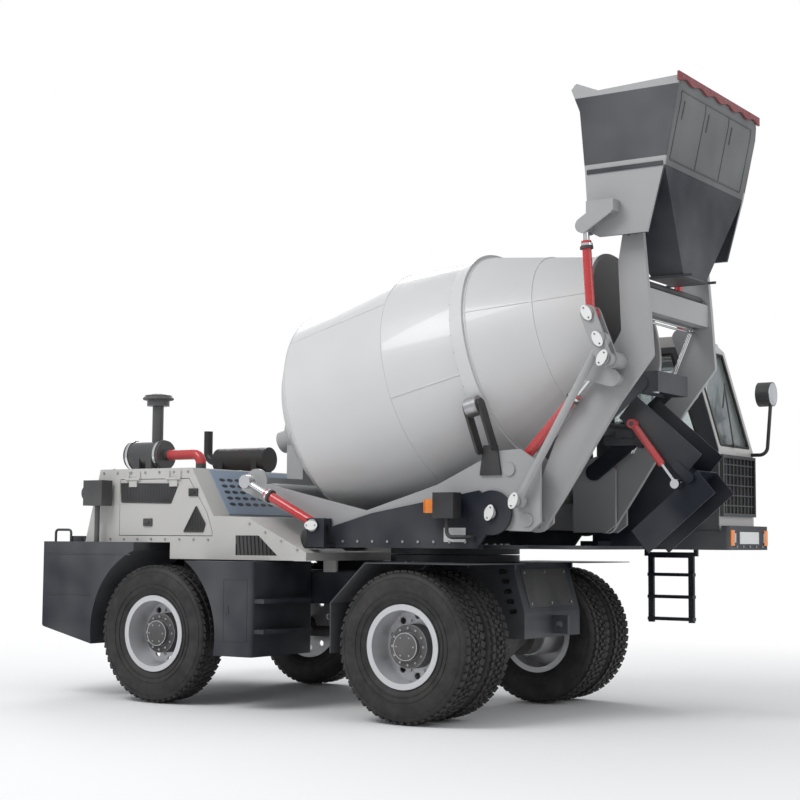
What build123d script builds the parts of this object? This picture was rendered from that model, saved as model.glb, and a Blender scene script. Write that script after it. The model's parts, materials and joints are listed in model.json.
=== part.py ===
from build123d import *
from math import atan2, cos, degrees, hypot, radians, sin, sqrt
import os

# Self-loading concrete mixer. Millimetres, +X forward, +Y to the machine's left, +Z up.
# Places are measured from the ground point under the middle of the front axle.
# Each finished piece is written with the ground point under the middle of the machine as origin.

# Driving dimensions
wheelbase = 2345.0
tyre_radius = 525.0
tyre_width = 286.0
front_outer_track = 1105.0
front_inner_track = 775.0
rear_track = 992.0
slew_x = -330.0
slew_radius = 485.0
slew_base = 1090.0
slew_top = 1190.0
overrun = 40.0
sheet = 6.0
plate = 25.0
running_gap = 0.3
pin_fit = 0.05

axle_height = tyre_radius
rear_axle_x = -wheelbase


def slab(points, low_y, high_y, mode=Mode.ADD):
    """Extrude an outline of X and Z places between two Y places."""
    with BuildSketch(Plane.XZ.offset(-high_y)) as outline:
        with BuildLine():
            Polyline(*points, close=True)
        make_face()
    extrude(outline.sketch, amount=high_y - low_y, mode=mode)


def deck(points, low_z, high_z, mode=Mode.ADD):
    """Extrude an outline of X and Y places between two heights."""
    with BuildSketch(Plane.XY.offset(low_z)) as outline:
        with BuildLine():
            Polyline(*points, close=True)
        make_face()
    extrude(outline.sketch, amount=high_z - low_z, mode=mode)


def block(span_x, span_y, span_z, mode=Mode.ADD):
    """Add a box between two X, two Y and two Z places."""
    size = [abs(span[1] - span[0]) for span in (span_x, span_y, span_z)]
    middle = [(span[0] + span[1]) / 2 for span in (span_x, span_y, span_z)]
    with Locations(tuple(middle)):
        Box(*size, mode=mode)


def rod(start, end, radius, mode=Mode.ADD):
    """Add a round bar between two points."""
    run = Vector(*end) - Vector(*start)
    with BuildSketch(Plane(origin=start, z_dir=run)) as section:
        Circle(radius)
    extrude(section.sketch, amount=run.length, mode=mode)


def pin_y(x, z, low_y, high_y, radius, mode=Mode.ADD):
    """Add a round pin, or cut a bore, that lies along Y."""
    rod((x, low_y, z), (x, high_y, z), radius, mode)


def pipe(points, bend, radius):
    """Sweep a round section along straight runs joined by arcs."""
    with BuildLine() as route:
        FilletPolyline(*points, radius=bend)
    with BuildSketch(Plane(origin=route.wire() @ 0, z_dir=route.wire() % 0)) as section:
        Circle(radius)
    sweep(section.sketch, path=route.wire())


def link(start, end, width, low_y, high_y, mode=Mode.ADD):
    """Add a flat bar with round ends between two pins, given by X and Z."""
    rise = end[1] - start[1]
    reach = end[0] - start[0]
    middle = ((start[0] + end[0]) / 2, (start[1] + end[1]) / 2)
    with BuildSketch(Plane.XZ.offset(-high_y)) as bar:
        with Locations(middle):
            SlotCenterToCenter(hypot(reach, rise), width, rotation=degrees(atan2(rise, reach)))
    extrude(bar.sketch, amount=high_y - low_y, mode=mode)


def from_shares(shares, corner, size):
    """Turn shares of a length and a height into X and Z places."""
    return [(corner[0] + along * size[0], corner[1] + up * size[1]) for along, up in shares]


def both_sides(inner_y, outer_y):
    """Give the two Y spans, right and left, of a piece that is there on both sides."""
    return ((-outer_y, -inner_y), (inner_y, outer_y))


finished = []

# Hinges: a knuckle on the moving side, two lugs and the pin on the fixed side
hinge_radius = 10.0
hinge_pin_radius = 5.0
hinge_stand = 12.0
hinge_knuckle = 80.0
hinge_lug = 30.0
hinge_leaf = 60.0
hinge_gap = 2.0


def hinge_part(place, along, out, leaf, fixed):
    """Make one side of a hinge whose pin runs along one axis, on a face that looks outwards."""
    half = hinge_knuckle / 2
    reach = half + hinge_gap + hinge_lug
    spans = ((-reach, -half - hinge_gap), (half + hinge_gap, reach)) if fixed else ((-half, half),)
    for first, last in spans:
        rod(place + along * first, place + along * last, hinge_radius)
        middle = place + along * ((first + last) / 2) + leaf * (hinge_leaf / 2) - out * (hinge_stand / 2)
        with BuildSketch(Plane(origin=middle, x_dir=along, z_dir=out)) as leaf_face:
            Rectangle(last - first, hinge_leaf)
        extrude(leaf_face.sketch, amount=hinge_stand / 2, both=True)
    radius = hinge_pin_radius if fixed else hinge_pin_radius + pin_fit
    rod(place - along * reach, place + along * reach, radius, Mode.ADD if fixed else Mode.SUBTRACT)



def finish(piece, label):
    """Label a finished piece and keep it for writing."""
    piece.part.label = label
    finished.append(piece.part)


# Chassis: two box rails, cross plates, the box between the front wheels and the slewing ring's fixed half
rail_inner_y = 300.0
rail_outer_y = 420.0
rail_low_z = 760.0
rail_high_z = 1000.0
rail_rear_x = -3050.0
box_rear_x = -700.0
box_front_x = 500.0
box_low_z = 560.0
box_lip_x = 400.0
box_lip_z = 740.0
box_skin = 12.0
axle_arch = 210.0
tie_length = 120.0
tie_places = (-2900.0, -1850.0, -1250.0)
axle_seat_half = 110.0
perforation_length = 70.0
perforation_width = 34.0
perforation_count = 5
perforation_inset = 60.0
tow_radius = 26.0
tow_plate = 40.0
tow_reach = 130.0
bearing_bore = 330.0
bearing_split_z = 1140.0
bearing_gap = 6.0

box_outline = [
    (box_rear_x, box_low_z + axle_arch), (box_rear_x, slew_base), (box_lip_x, slew_base),
    (box_front_x, box_lip_z), (box_front_x, box_low_z), (axle_arch, box_low_z),
    (axle_arch, box_low_z + axle_arch), (-axle_arch, box_low_z + axle_arch),
]
tow_z = (box_low_z + box_lip_z) / 2


def perforations():
    """Cut the row of oblong holes that follows the slanted edge of each side plate."""
    run_x = (box_front_x - box_lip_x) / perforation_count
    run_z = (slew_base - box_lip_z) / perforation_count
    for step in range(perforation_count):
        hole_x = box_lip_x - perforation_inset + run_x * step
        hole_z = slew_base - perforation_inset - run_z * step
        start = (hole_x - perforation_length / 2, hole_z)
        end = (hole_x + perforation_length / 2 - perforation_width, hole_z)
        for low_y, high_y in both_sides(rail_outer_y - box_skin, rail_outer_y):
            link(start, end, perforation_width, low_y - overrun, high_y + overrun, Mode.SUBTRACT)


with BuildPart() as chassis_frame:
    for low_y, high_y in both_sides(rail_inner_y, rail_outer_y):
        block((rail_rear_x, box_rear_x + overrun), (low_y, high_y), (rail_low_z, rail_high_z))
    for tie_x in tie_places:
        block((tie_x, tie_x + tie_length), (-rail_outer_y, rail_outer_y), (rail_low_z, rail_high_z))
    slab(box_outline, -rail_outer_y, rail_outer_y)
    hollow_y = rail_outer_y - box_skin
    block((box_rear_x + plate, box_lip_x - plate), (-hollow_y, hollow_y),
          (box_low_z - overrun, slew_base - plate), Mode.SUBTRACT)
    block((-axle_seat_half, axle_seat_half), (-rail_outer_y, rail_outer_y),
          (box_low_z + axle_arch, slew_base))
    perforations()
    block((box_front_x, box_front_x + tow_reach), (-tow_plate / 2, tow_plate / 2),
          (tow_z - tow_reach / 2, tow_z + tow_reach / 2))
    pin_y(box_front_x + tow_reach / 2, tow_z, -tow_plate, tow_plate, tow_radius, Mode.SUBTRACT)
    with Locations((slew_x, 0, (slew_base + bearing_split_z) / 2)):
        Cylinder(slew_radius, bearing_split_z - slew_base)
        Cylinder(bearing_bore, bearing_split_z - slew_base, mode=Mode.SUBTRACT)
finish(chassis_frame, "chassis_frame")

# Axles: a beam with a middle housing and a planetary hub end at each side
beam_radius = 85.0
housing_radius = 170.0
hub_end_radius = 140.0
front_hub_y = 520.0
spindle_reach = 100.0
stub_radius = 60.0
king_y = 700.0
king_radius = 38.0
yoke_radius = 80.0
yoke_plate = 45.0
yoke_half_height = 150.0


def axle_beam(axle_x, end_y):
    """Make a beam that tapers from its round middle housing to its two ends."""
    with BuildSketch(Plane.XY) as profile:
        with BuildLine():
            Polyline((0, 0), (housing_radius, 0), (housing_radius, housing_radius / 2),
                     (beam_radius, housing_radius * 2), (beam_radius, end_y), (0, end_y), close=True)
        make_face()
    half = revolve(profile.sketch, axis=Axis.Y, revolution_arc=360, mode=Mode.PRIVATE)
    whole = half + half.mirror(Plane.XZ)
    add(whole.moved(Location((axle_x, 0, axle_height))))


with BuildPart() as front_axle:
    axle_beam(0, front_hub_y)
    for low_y, high_y in both_sides(front_hub_y - hub_end_radius, front_hub_y):
        pin_y(0, axle_height, low_y, high_y, hub_end_radius)
    pin_y(0, axle_height, -front_hub_y - spindle_reach, front_hub_y + spindle_reach, stub_radius)
    for low_y, high_y in both_sides(rail_inner_y, rail_outer_y - box_skin):
        block((-axle_seat_half, axle_seat_half), (low_y, high_y),
              (axle_height, box_low_z + axle_arch))
finish(front_axle, "front_axle")

with BuildPart() as rear_axle:
    axle_beam(rear_axle_x, king_y - yoke_radius * 2)
    for low_y, high_y in both_sides(rail_inner_y, rail_outer_y):
        block((rear_axle_x - axle_seat_half, rear_axle_x + axle_seat_half), (low_y, high_y),
              (axle_height, rail_low_z))
    for side in (-1, 1):
        block((rear_axle_x - yoke_radius, rear_axle_x + yoke_radius),
              sorted((side * (king_y - yoke_radius * 2), side * (king_y - yoke_radius * 2 + yoke_plate))),
              (axle_height - yoke_half_height, axle_height + yoke_half_height))
        for low_z in (axle_height - yoke_half_height, axle_height + yoke_half_height - yoke_plate):
            block((rear_axle_x - yoke_radius, rear_axle_x + yoke_radius),
                  sorted((side * (king_y - yoke_radius * 2), side * king_y)), (low_z, low_z + yoke_plate))
            rod((rear_axle_x, side * king_y, low_z), (rear_axle_x, side * king_y, low_z + yoke_plate),
                yoke_radius)
            rod((rear_axle_x, side * king_y, low_z - overrun),
                (rear_axle_x, side * king_y, low_z + yoke_plate + overrun),
                king_radius + pin_fit, Mode.SUBTRACT)
finish(rear_axle, "rear_axle")

# Steering knuckles: a king pin, the swivel housing between the yoke's arms, and the stub
knuckle_gap = 2.0
knuckle_radius = 72.0
stub_end_y = 960.0
steer_arm_reach = 190.0
steer_arm_thick = 30.0


def knuckle(side):
    """Make the steering knuckle of one side."""
    low_z = axle_height - yoke_half_height
    high_z = axle_height + yoke_half_height
    rod((rear_axle_x, side * king_y, low_z), (rear_axle_x, side * king_y, high_z), king_radius)
    rod((rear_axle_x, side * king_y, low_z + yoke_plate + knuckle_gap),
        (rear_axle_x, side * king_y, high_z - yoke_plate - knuckle_gap), knuckle_radius)
    rod((rear_axle_x, side * king_y, axle_height), (rear_axle_x, side * stub_end_y, axle_height),
        stub_radius)
    arm_low = axle_height - steer_arm_thick / 2
    block((rear_axle_x + knuckle_radius / 2, rear_axle_x + steer_arm_reach),
          sorted((side * (king_y - stub_radius / 2), side * (king_y + stub_radius / 2))),
          (arm_low, arm_low + steer_arm_thick))


with BuildPart() as knuckle_right:
    knuckle(-1)
finish(knuckle_right, "knuckle_right")

with BuildPart() as knuckle_left:
    knuckle(1)
finish(knuckle_left, "knuckle_left")

# Wheels: tyres, and rims whose disc sits deep behind the rim's outer edge
rim_radius = 258.0
bead_radius = rim_radius + running_gap
rim_flange_radius = 288.0
rim_half_width = 118.0
rim_skin = 10.0
disc_thick = 18.0
disc_offset = -80.0
hub_radius = 150.0
hub_reach = 120.0
hub_nose_radius = 95.0
hub_nose_reach = 40.0
shoulder_drop = 22.0
tread_half_width = 112.0
sidewall_bulge_radius = 420.0
bead_half_width = 96.0
groove_depth = 12.0
groove_width = 12.0
groove_places = (-52.0, 0.0, 52.0)
nut_ring_radius = 112.0
nut_count = 10
nut_radius = 11.0
nut_height = 14.0
disc_hole_ring = 205.0
disc_hole_radius = 24.0
half_step = 0.5


def tyre(wheel_x, middle_y):
    """Turn one tyre about its own axle, with grooves round its tread."""
    half = tyre_width / 2
    with BuildSketch(Plane.XY) as section:
        with BuildLine():
            Polyline((bead_radius, -bead_half_width), (bead_radius, bead_half_width),
                     (rim_flange_radius + rim_skin, bead_half_width + rim_skin))
            ThreePointArc((rim_flange_radius + rim_skin, bead_half_width + rim_skin),
                          (sidewall_bulge_radius, half), (tyre_radius - shoulder_drop, tread_half_width))
            ThreePointArc((tyre_radius - shoulder_drop, tread_half_width), (tyre_radius, 0),
                          (tyre_radius - shoulder_drop, -tread_half_width))
            ThreePointArc((tyre_radius - shoulder_drop, -tread_half_width),
                          (sidewall_bulge_radius, -half),
                          (rim_flange_radius + rim_skin, -bead_half_width - rim_skin))
            Line((rim_flange_radius + rim_skin, -bead_half_width - rim_skin),
                 (bead_radius, -bead_half_width))
        make_face()
        for groove_y in groove_places:
            with Locations((tyre_radius, groove_y)):
                Rectangle(groove_depth * 2, groove_width, mode=Mode.SUBTRACT)
    body = revolve(section.sketch, axis=Axis.Y, revolution_arc=360, mode=Mode.PRIVATE)
    add(body.moved(Location((wheel_x, middle_y, axle_height))))


def rim(wheel_x, middle_y, side, with_hub):
    """Turn one rim, with its disc on the inner side and the hub through it."""
    edge = rim_half_width
    disc_y = disc_offset
    with BuildSketch(Plane.XY) as section:
        with BuildLine():
            Polyline((0, disc_y - disc_thick), (0, disc_y), (rim_radius - rim_skin, disc_y),
                     (rim_radius - rim_skin, edge), (rim_flange_radius, edge),
                     (rim_flange_radius, edge - rim_skin), (rim_radius, edge - rim_skin),
                     (rim_radius, rim_skin - edge), (rim_flange_radius, rim_skin - edge),
                     (rim_flange_radius, -edge), (rim_radius - rim_skin, -edge),
                     (rim_radius - rim_skin, disc_y - disc_thick), close=True)
        make_face()
    body = revolve(section.sketch, axis=Axis.Y, revolution_arc=360, mode=Mode.PRIVATE)
    turn = 0 if side > 0 else 180
    add(body.moved(Location((wheel_x, middle_y, axle_height), (0, 0, turn))))
    if with_hub:
        face_y = middle_y + side * disc_y
        nose_y = face_y + side * hub_reach
        rod((wheel_x, face_y, axle_height), (wheel_x, nose_y, axle_height), hub_radius)
        rod((wheel_x, nose_y, axle_height), (wheel_x, nose_y + side * hub_nose_reach, axle_height),
            hub_nose_radius)


def nuts(wheel_x, face_y, side):
    """Set the ring of wheel nuts on a rim's disc."""
    for step in range(nut_count):
        angle = radians(360 * step / nut_count)
        nut_x = wheel_x + (hub_radius + nut_ring_radius / 4) * cos(angle)
        nut_z = axle_height + (hub_radius + nut_ring_radius / 4) * sin(angle)
        rod((nut_x, face_y, nut_z), (nut_x, face_y + side * nut_height, nut_z), nut_radius)


def disc_holes(wheel_x, low_y, high_y):
    """Cut the ring of hand holes through a rim's disc."""
    for step in range(nut_count):
        angle = radians(360 * (step + half_step) / nut_count)
        hole_x = wheel_x + disc_hole_ring * cos(angle)
        hole_z = axle_height + disc_hole_ring * sin(angle)
        pin_y(hole_x, hole_z, low_y, high_y, disc_hole_radius, Mode.SUBTRACT)


# Columns: name of the side, its sign
sides = (("right", -1), ("left", 1))
hub_face_y = front_outer_track + disc_offset

for name, side in sides:
    with BuildPart() as tyres_front:
        tyre(0, side * front_outer_track)
        tyre(0, side * front_inner_track)
    finish(tyres_front, f"tyres_front_{name}")

    with BuildPart() as tyre_rear:
        tyre(rear_axle_x, side * rear_track)
    finish(tyre_rear, f"tyre_rear_{name}")

    with BuildPart() as rims_front:
        rim(0, side * front_outer_track, side, True)
        rim(0, side * front_inner_track, -side, False)
        outer_back = side * (hub_face_y - disc_thick)
        inner_back = side * (front_inner_track - disc_offset + disc_thick)
        rod((0, inner_back, axle_height), (0, outer_back, axle_height), hub_radius)
        nuts(0, side * hub_face_y, side)
        disc_holes(0, side * hub_face_y - overrun, side * hub_face_y + overrun)
        hub_inner = side * (front_hub_y + bearing_gap)
        rod((0, hub_inner, axle_height), (0, inner_back, axle_height), hub_radius)
        spindle_end = side * (front_hub_y + spindle_reach + running_gap)
        rod((0, side * front_hub_y, axle_height), (0, spindle_end, axle_height), stub_radius + pin_fit,
            Mode.SUBTRACT)
    finish(rims_front, f"rims_front_{name}")

    with BuildPart() as rim_rear:
        rim(rear_axle_x, side * rear_track, side, True)
        nuts(rear_axle_x, side * (rear_track + disc_offset), side)
        disc_y = side * (rear_track + disc_offset)
        disc_holes(rear_axle_x, disc_y - overrun, disc_y + overrun)
        stub_inner = side * (rear_track + disc_offset - disc_thick - overrun)
        rod((rear_axle_x, stub_inner, axle_height),
            (rear_axle_x, side * (stub_end_y + running_gap), axle_height),
            stub_radius + pin_fit, Mode.SUBTRACT)
    finish(rim_rear, f"rim_rear_{name}")

# Mudguards: a bent sheet over each pair of front wheels, with a tread plate at the back
guard_inner_y = 440.0
guard_outer_y = 1240.0
guard_rear_x = -590.0
guard_bend_x = -300.0
guard_front_x = 520.0
guard_low_z = 460.0
guard_bend_z = 810.0
step_plate_height = 120.0
guard_arm_radius = 22.0

guard_line = [
    (guard_rear_x, guard_low_z), (guard_rear_x, guard_bend_z), (guard_bend_x, slew_base),
    (guard_front_x, slew_base), (guard_front_x, slew_base - sheet),
    (guard_bend_x + sheet / 2, slew_base - sheet), (guard_rear_x + sheet, guard_bend_z - sheet / 2),
    (guard_rear_x + sheet, guard_low_z),
]

with BuildPart() as mudguards:
    for low_y, high_y in both_sides(guard_inner_y, guard_outer_y):
        slab(guard_line, low_y, high_y)
        block((guard_rear_x - sheet, guard_rear_x), (low_y + sheet, high_y - sheet),
              (guard_bend_z - step_plate_height, guard_bend_z))
    for low_y, high_y in both_sides(rail_outer_y, guard_inner_y):
        for arm_x in (guard_bend_x, 0, guard_front_x - guard_arm_radius * 6):
            block((arm_x, arm_x + guard_arm_radius * 2), (low_y, high_y),
                  (slew_base - guard_arm_radius * 2, slew_base))
finish(mudguards, "mudguards")

# Side boxes: fuel and oil tanks behind each step, with an arch cut round the rear wheel
arch_radius = 665.0
box_front_face = -1335.0
box_inner_y = 440.0
box_outer_y = 1180.0
side_box_low = 390.0
side_box_high = 1080.0
side_box_rear = -2000.0
tread_reach = 90.0
tread_thick = 30.0
tread_heights = (560.0, 780.0)
tread_inner_y = 560.0
box_bracket = 60.0

with BuildPart() as side_boxes:
    for low_y, high_y in both_sides(box_inner_y, box_outer_y):
        block((side_box_rear, box_front_face), (low_y, high_y), (side_box_low, side_box_high))
        pin_y(rear_axle_x, axle_height, low_y - overrun, high_y + overrun, arch_radius, Mode.SUBTRACT)
    edges_out = side_boxes.edges().filter_by(Axis.Z).group_by(Axis.X)[-1]
    fillet(edges_out, tread_thick)
    for low_y, high_y in both_sides(tread_inner_y, box_outer_y - tread_thick):
        for tread_z in tread_heights:
            block((box_front_face, box_front_face + tread_reach), (low_y, high_y),
                  (tread_z, tread_z + tread_thick))
    for low_y, high_y in both_sides(rail_outer_y, box_inner_y):
        block((box_front_face - box_bracket * 4, box_front_face - box_bracket * 2), (low_y, high_y),
              (rail_low_z, rail_high_z))
finish(side_boxes, "side_boxes")

# Rear tank: the ballast box across the back, with chamfered corners and a wheel arch
tank_rear_x = -3690.0
tank_bend_x = -3540.0
tank_front_x = -2570.0
hood_half_width = 950.0
tank_overhang = 150.0
tank_half_width = hood_half_width + tank_overhang
tank_chamfer = 200.0
tank_corner_y = tank_half_width - tank_chamfer
tank_low_z = 420.0
tank_high_z = 1216.0
tank_heel_x = -3530.0
tank_heel_z = 540.0
tank_back_x = -3660.0
tank_back_z = 740.0
cap_radius = 52.0
cap_height = 45.0
engine_bay_x = -2790.0
# Columns: X and Y of each filler cap
cap_inset = 170.0
cap_pitch = 150.0
cap_places = ((-3330.0, cap_inset - tank_half_width), (-3450.0, cap_inset + cap_pitch - tank_half_width))
tank_arch_x = rear_axle_x - sqrt(arch_radius ** 2 - (axle_height - tank_low_z) ** 2)

tank_outline = [
    (tank_rear_x, tank_high_z), (tank_back_x, tank_back_z), (tank_heel_x, tank_heel_z),
    (tank_arch_x, tank_low_z), (tank_front_x, tank_low_z), (tank_front_x, tank_high_z),
]

with BuildPart() as rear_tank:
    slab(tank_outline, -tank_half_width, tank_half_width)
    pin_y(rear_axle_x, axle_height, -tank_half_width - overrun, tank_half_width + overrun,
          arch_radius, Mode.SUBTRACT)
    for side in (-1, 1):
        deck([(tank_rear_x - overrun, side * tank_corner_y), (tank_bend_x, side * tank_half_width),
              (tank_bend_x, side * (tank_half_width + overrun)),
              (tank_rear_x - overrun, side * (tank_half_width + overrun))],
             tank_low_z - overrun, tank_high_z + overrun, Mode.SUBTRACT)
    block((rail_rear_x, tank_front_x + overrun), (-rail_outer_y, rail_outer_y),
          (rail_low_z, rail_high_z), Mode.SUBTRACT)
    block((engine_bay_x, tank_front_x + overrun), (-rail_outer_y, rail_outer_y),
          (rail_low_z, tank_high_z + overrun), Mode.SUBTRACT)
    for cap_x, cap_y in cap_places:
        rod((cap_x, cap_y, tank_high_z), (cap_x, cap_y, tank_high_z + cap_height), cap_radius)
finish(rear_tank, "rear_tank")

# Engine hood: a hollow shell with door openings, a sloping front and a notch round the turntable
hood_rear_x = -3230.0
hood_front_x = -1020.0
hood_low_z = 1090.0
hood_high_z = 1790.0
hood_wall = 22.0
hood_rise_shares = (
    (0.0, 0.18), (0.068, 1.0), (0.502, 1.0), (0.602, 0.47), (0.747, 0.457),
    (1.0, 0.086), (1.0, 0.0), (0.407, 0.0), (0.407, 0.18),
)
notch_radius = 1165.0
notch_floor = 1178.0
# Columns: share of the hood's length, share of its height
door_shares = ((0.165, 0.25), (0.598, 0.25), (0.598, 0.30), (0.575, 0.50), (0.49, 0.885), (0.165, 0.885))
door_gap = 5.0
hood_length = hood_front_x - hood_rear_x
hood_height = hood_high_z - hood_low_z
hood_outline = from_shares(hood_rise_shares, (hood_rear_x, hood_low_z), (hood_length, hood_height))
door_outline = from_shares(door_shares, (hood_rear_x, hood_low_z), (hood_length, hood_height))
hood_hinge_z = door_outline[-1][1] - door_gap / 2
hood_hinge_places = (-2720.0, -2300.0)


def shrunk(points, low_y, high_y, inset, mode):
    """Extrude an outline that is drawn in or out by an inset."""
    with BuildSketch(Plane.XZ.offset(-high_y)) as outline:
        with BuildLine():
            Polyline(*points, close=True)
        make_face()
        offset(amount=inset, kind=Kind.INTERSECTION)
    extrude(outline.sketch, amount=high_y - low_y, mode=mode)


# Hood grilles: a slatted black grille low on each side, and the slotted screen on the slope
grille_shares = ((0.701, 0.05), (0.701, 0.26), (0.80, 0.26), (0.88, 0.05))
slat_pitch = 36.0
slat_thick = 12.0
slat_depth = 16.0
screen_half_width = 760.0
screen_thick = 8.0
screen_inset = 16.0
slot_length = 60.0
slot_width = 20.0
slot_pitch_y = 95.0
slot_pitch_run = 55.0
slot_columns = 15
slot_rows = 5
grille_outline = from_shares(grille_shares, (hood_rear_x, hood_low_z), (hood_length, hood_height))
grille_rear_x = grille_outline[0][0]
grille_front_x = grille_outline[3][0]
slope_top = hood_outline[2]
slope_foot = hood_outline[3]
slope_run = hypot(slope_foot[0] - slope_top[0], slope_foot[1] - slope_top[1])
slope_out = Vector(slope_top[1] - slope_foot[1], 0, slope_foot[0] - slope_top[0]).normalized()
slope_mid = Vector((slope_top[0] + slope_foot[0]) / 2, 0, (slope_top[1] + slope_foot[1]) / 2)

with BuildPart() as grille_space:
    for low_y, high_y in both_sides(hood_half_width - slat_depth - running_gap, hood_half_width):
        shrunk(grille_outline, low_y, high_y, running_gap, Mode.ADD)

with BuildPart() as hood_space:
    shrunk(hood_outline, hood_wall - hood_half_width, hood_half_width - hood_wall, -hood_wall, Mode.ADD)
    with Locations((slew_x, 0, notch_floor - hood_wall + hood_height / 2)):
        Cylinder(notch_radius + hood_wall, hood_height, mode=Mode.SUBTRACT)
    block((tank_front_x, hood_front_x - hood_wall),
          (hood_wall - hood_half_width, hood_half_width - hood_wall),
          (hood_low_z - overrun, hood_low_z + hood_wall * 2))
    block((engine_bay_x, hood_front_x - hood_wall), (-rail_outer_y, rail_outer_y),
          (hood_low_z - overrun, tank_high_z + hood_wall * 2))

with BuildPart() as engine_hood:
    slab(hood_outline, -hood_half_width, hood_half_width)
    with Locations((slew_x, 0, notch_floor + hood_height / 2)):
        Cylinder(notch_radius, hood_height, mode=Mode.SUBTRACT)
    add(hood_space.part, mode=Mode.SUBTRACT)
    add(grille_space.part, mode=Mode.SUBTRACT)
    for low_y, high_y in both_sides(hood_half_width - hood_wall, hood_half_width):
        slab(door_outline, low_y - overrun, high_y + overrun, Mode.SUBTRACT)
    for side in (-1, 1):
        for hinge_x in hood_hinge_places:
            hinge_part(Vector(hinge_x, side * (hood_half_width + hinge_stand), hood_hinge_z), Vector(1, 0, 0),
                       Vector(0, side, 0), Vector(0, 0, 1), True)
    for low_y, high_y in both_sides(rail_outer_y - plate, rail_outer_y):
        block((tie_places[2], tie_places[2] + tie_length), (low_y, high_y),
               (rail_high_z, notch_floor - hood_wall / 2))
finish(engine_hood, "engine_hood")

for name, side in sides:
    with BuildPart() as hood_door:
        spans = sorted((side * (hood_half_width - hood_wall), side * hood_half_width))
        shrunk(door_outline, spans[0], spans[1], -door_gap, Mode.ADD)
        for hinge_x in hood_hinge_places:
            hinge_part(Vector(hinge_x, side * (hood_half_width + hinge_stand), hood_hinge_z), Vector(1, 0, 0),
                       Vector(0, side, 0), Vector(0, 0, -1), False)
    finish(hood_door, f"hood_door_{name}")

with BuildPart() as hood_grilles:
    for low_y, high_y in both_sides(hood_half_width - slat_depth, hood_half_width):
        slab(grille_outline, low_y, high_y)
    for step in range(int((grille_front_x - grille_rear_x) / slat_pitch) + 1):
        slat_x = grille_rear_x + slat_thick + slat_pitch * step
        for low_y, high_y in ((-hood_half_width - overrun, -hood_half_width + slat_depth / 2),
                              (hood_half_width - slat_depth / 2, hood_half_width + overrun)):
            slab([(slat_x, hood_low_z), (slat_x - slat_pitch * 2, hood_high_z),
                  (slat_x - slat_pitch * 2 + slat_thick, hood_high_z), (slat_x + slat_thick, hood_low_z)],
                 low_y, high_y, Mode.SUBTRACT)
    screen_plane = Plane(origin=slope_mid + slope_out * running_gap, x_dir=(0, 1, 0), z_dir=slope_out)
    with BuildSketch(screen_plane) as screen_sheet:
        Rectangle(screen_half_width * 2, slope_run - screen_inset * 2)
        with GridLocations(slot_pitch_y, slot_pitch_run, slot_columns, slot_rows):
            SlotOverall(slot_length, slot_width, mode=Mode.SUBTRACT)
    extrude(screen_sheet.sketch, amount=screen_thick)
finish(hood_grilles, "hood_grilles")

# Engine: the heavy mass under the hood
engine_front_x = -2080.0
engine_rear_x = -2750.0
engine_low_z = 820.0
engine_high_z = 1600.0

with BuildPart() as engine_block:
    block((engine_rear_x, engine_front_x), (-rail_inner_y, rail_inner_y), (engine_low_z, engine_high_z))
finish(engine_block, "engine_block")

# Air intake: filter can lying on the hood, pre-cleaner on its stack, and the charge pipe
filter_y = -450.0
filter_rear_x = -3200.0
filter_front_x = -2830.0
filter_z = 1925.0
filter_radius = 118.0
band_width = 24.0
band_stand = 5.0
stack_x = -2930.0
stack_radius = 46.0
stack_high_z = 2330.0
bowl_radius = 92.0
bowl_height = 62.0
cowl_radius = 110.0
cowl_height = 26.0
saddle_width = 60.0
charge_radius = 42.0
charge_bend = 75.0
charge_foot_x = -2460.0

with BuildPart() as air_intake:
    rod((filter_rear_x, filter_y, filter_z), (filter_front_x, filter_y, filter_z), filter_radius)
    for band_x in (filter_rear_x + band_width, filter_front_x - band_width * 2):
        rod((band_x, filter_y, filter_z), (band_x + band_width, filter_y, filter_z),
            filter_radius + band_stand)
    rod((stack_x, filter_y, filter_z), (stack_x, filter_y, stack_high_z), stack_radius)
    rod((stack_x, filter_y, stack_high_z), (stack_x, filter_y, stack_high_z + bowl_height), bowl_radius)
    rod((stack_x, filter_y, stack_high_z + bowl_height),
        (stack_x, filter_y, stack_high_z + bowl_height + cowl_height), cowl_radius)
    for saddle_x in (filter_rear_x + saddle_width * 2, filter_front_x - saddle_width * 2):
        block((saddle_x, saddle_x + saddle_width), (filter_y - filter_radius, filter_y + filter_radius),
              (hood_high_z, filter_z))
    pipe([(filter_front_x, filter_y, filter_z), (charge_foot_x, filter_y, filter_z),
          (charge_foot_x, filter_y, hood_high_z)], charge_bend, charge_radius)
finish(air_intake, "air_intake")

# Exhaust: silencer lying on the hood's left side with a bent tail pipe
silencer_y = 430.0
silencer_radius = 105.0
silencer_rear_x = -3000.0
silencer_front_x = -2450.0
silencer_z = hood_high_z + silencer_radius + plate
tail_radius = 38.0
tail_rise = 260.0

with BuildPart() as exhaust:
    rod((silencer_rear_x, silencer_y, silencer_z), (silencer_front_x, silencer_y, silencer_z),
        silencer_radius)
    for saddle_x in (silencer_rear_x + saddle_width, silencer_front_x - saddle_width * 2):
        block((saddle_x, saddle_x + saddle_width),
               (silencer_y - silencer_radius, silencer_y + silencer_radius),
              (hood_high_z, silencer_z))
    pipe([(silencer_rear_x + saddle_width, silencer_y, silencer_z),
          (silencer_rear_x - tail_rise / 2, silencer_y, silencer_z),
          (silencer_rear_x - tail_rise / 2, silencer_y, silencer_z + tail_rise)], charge_bend, tail_radius)
finish(exhaust, "exhaust")

# Rear lamps: a housing on an arm at each side of the tank
lamp_x = -3020.0
lamp_low_z = 1500.0
lamp_high_z = 1700.0
lamp_half_length = 100.0
lamp_half_width = 60.0
lamp_arm_radius = 20.0
lamp_y = tank_half_width - lamp_half_width

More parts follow.
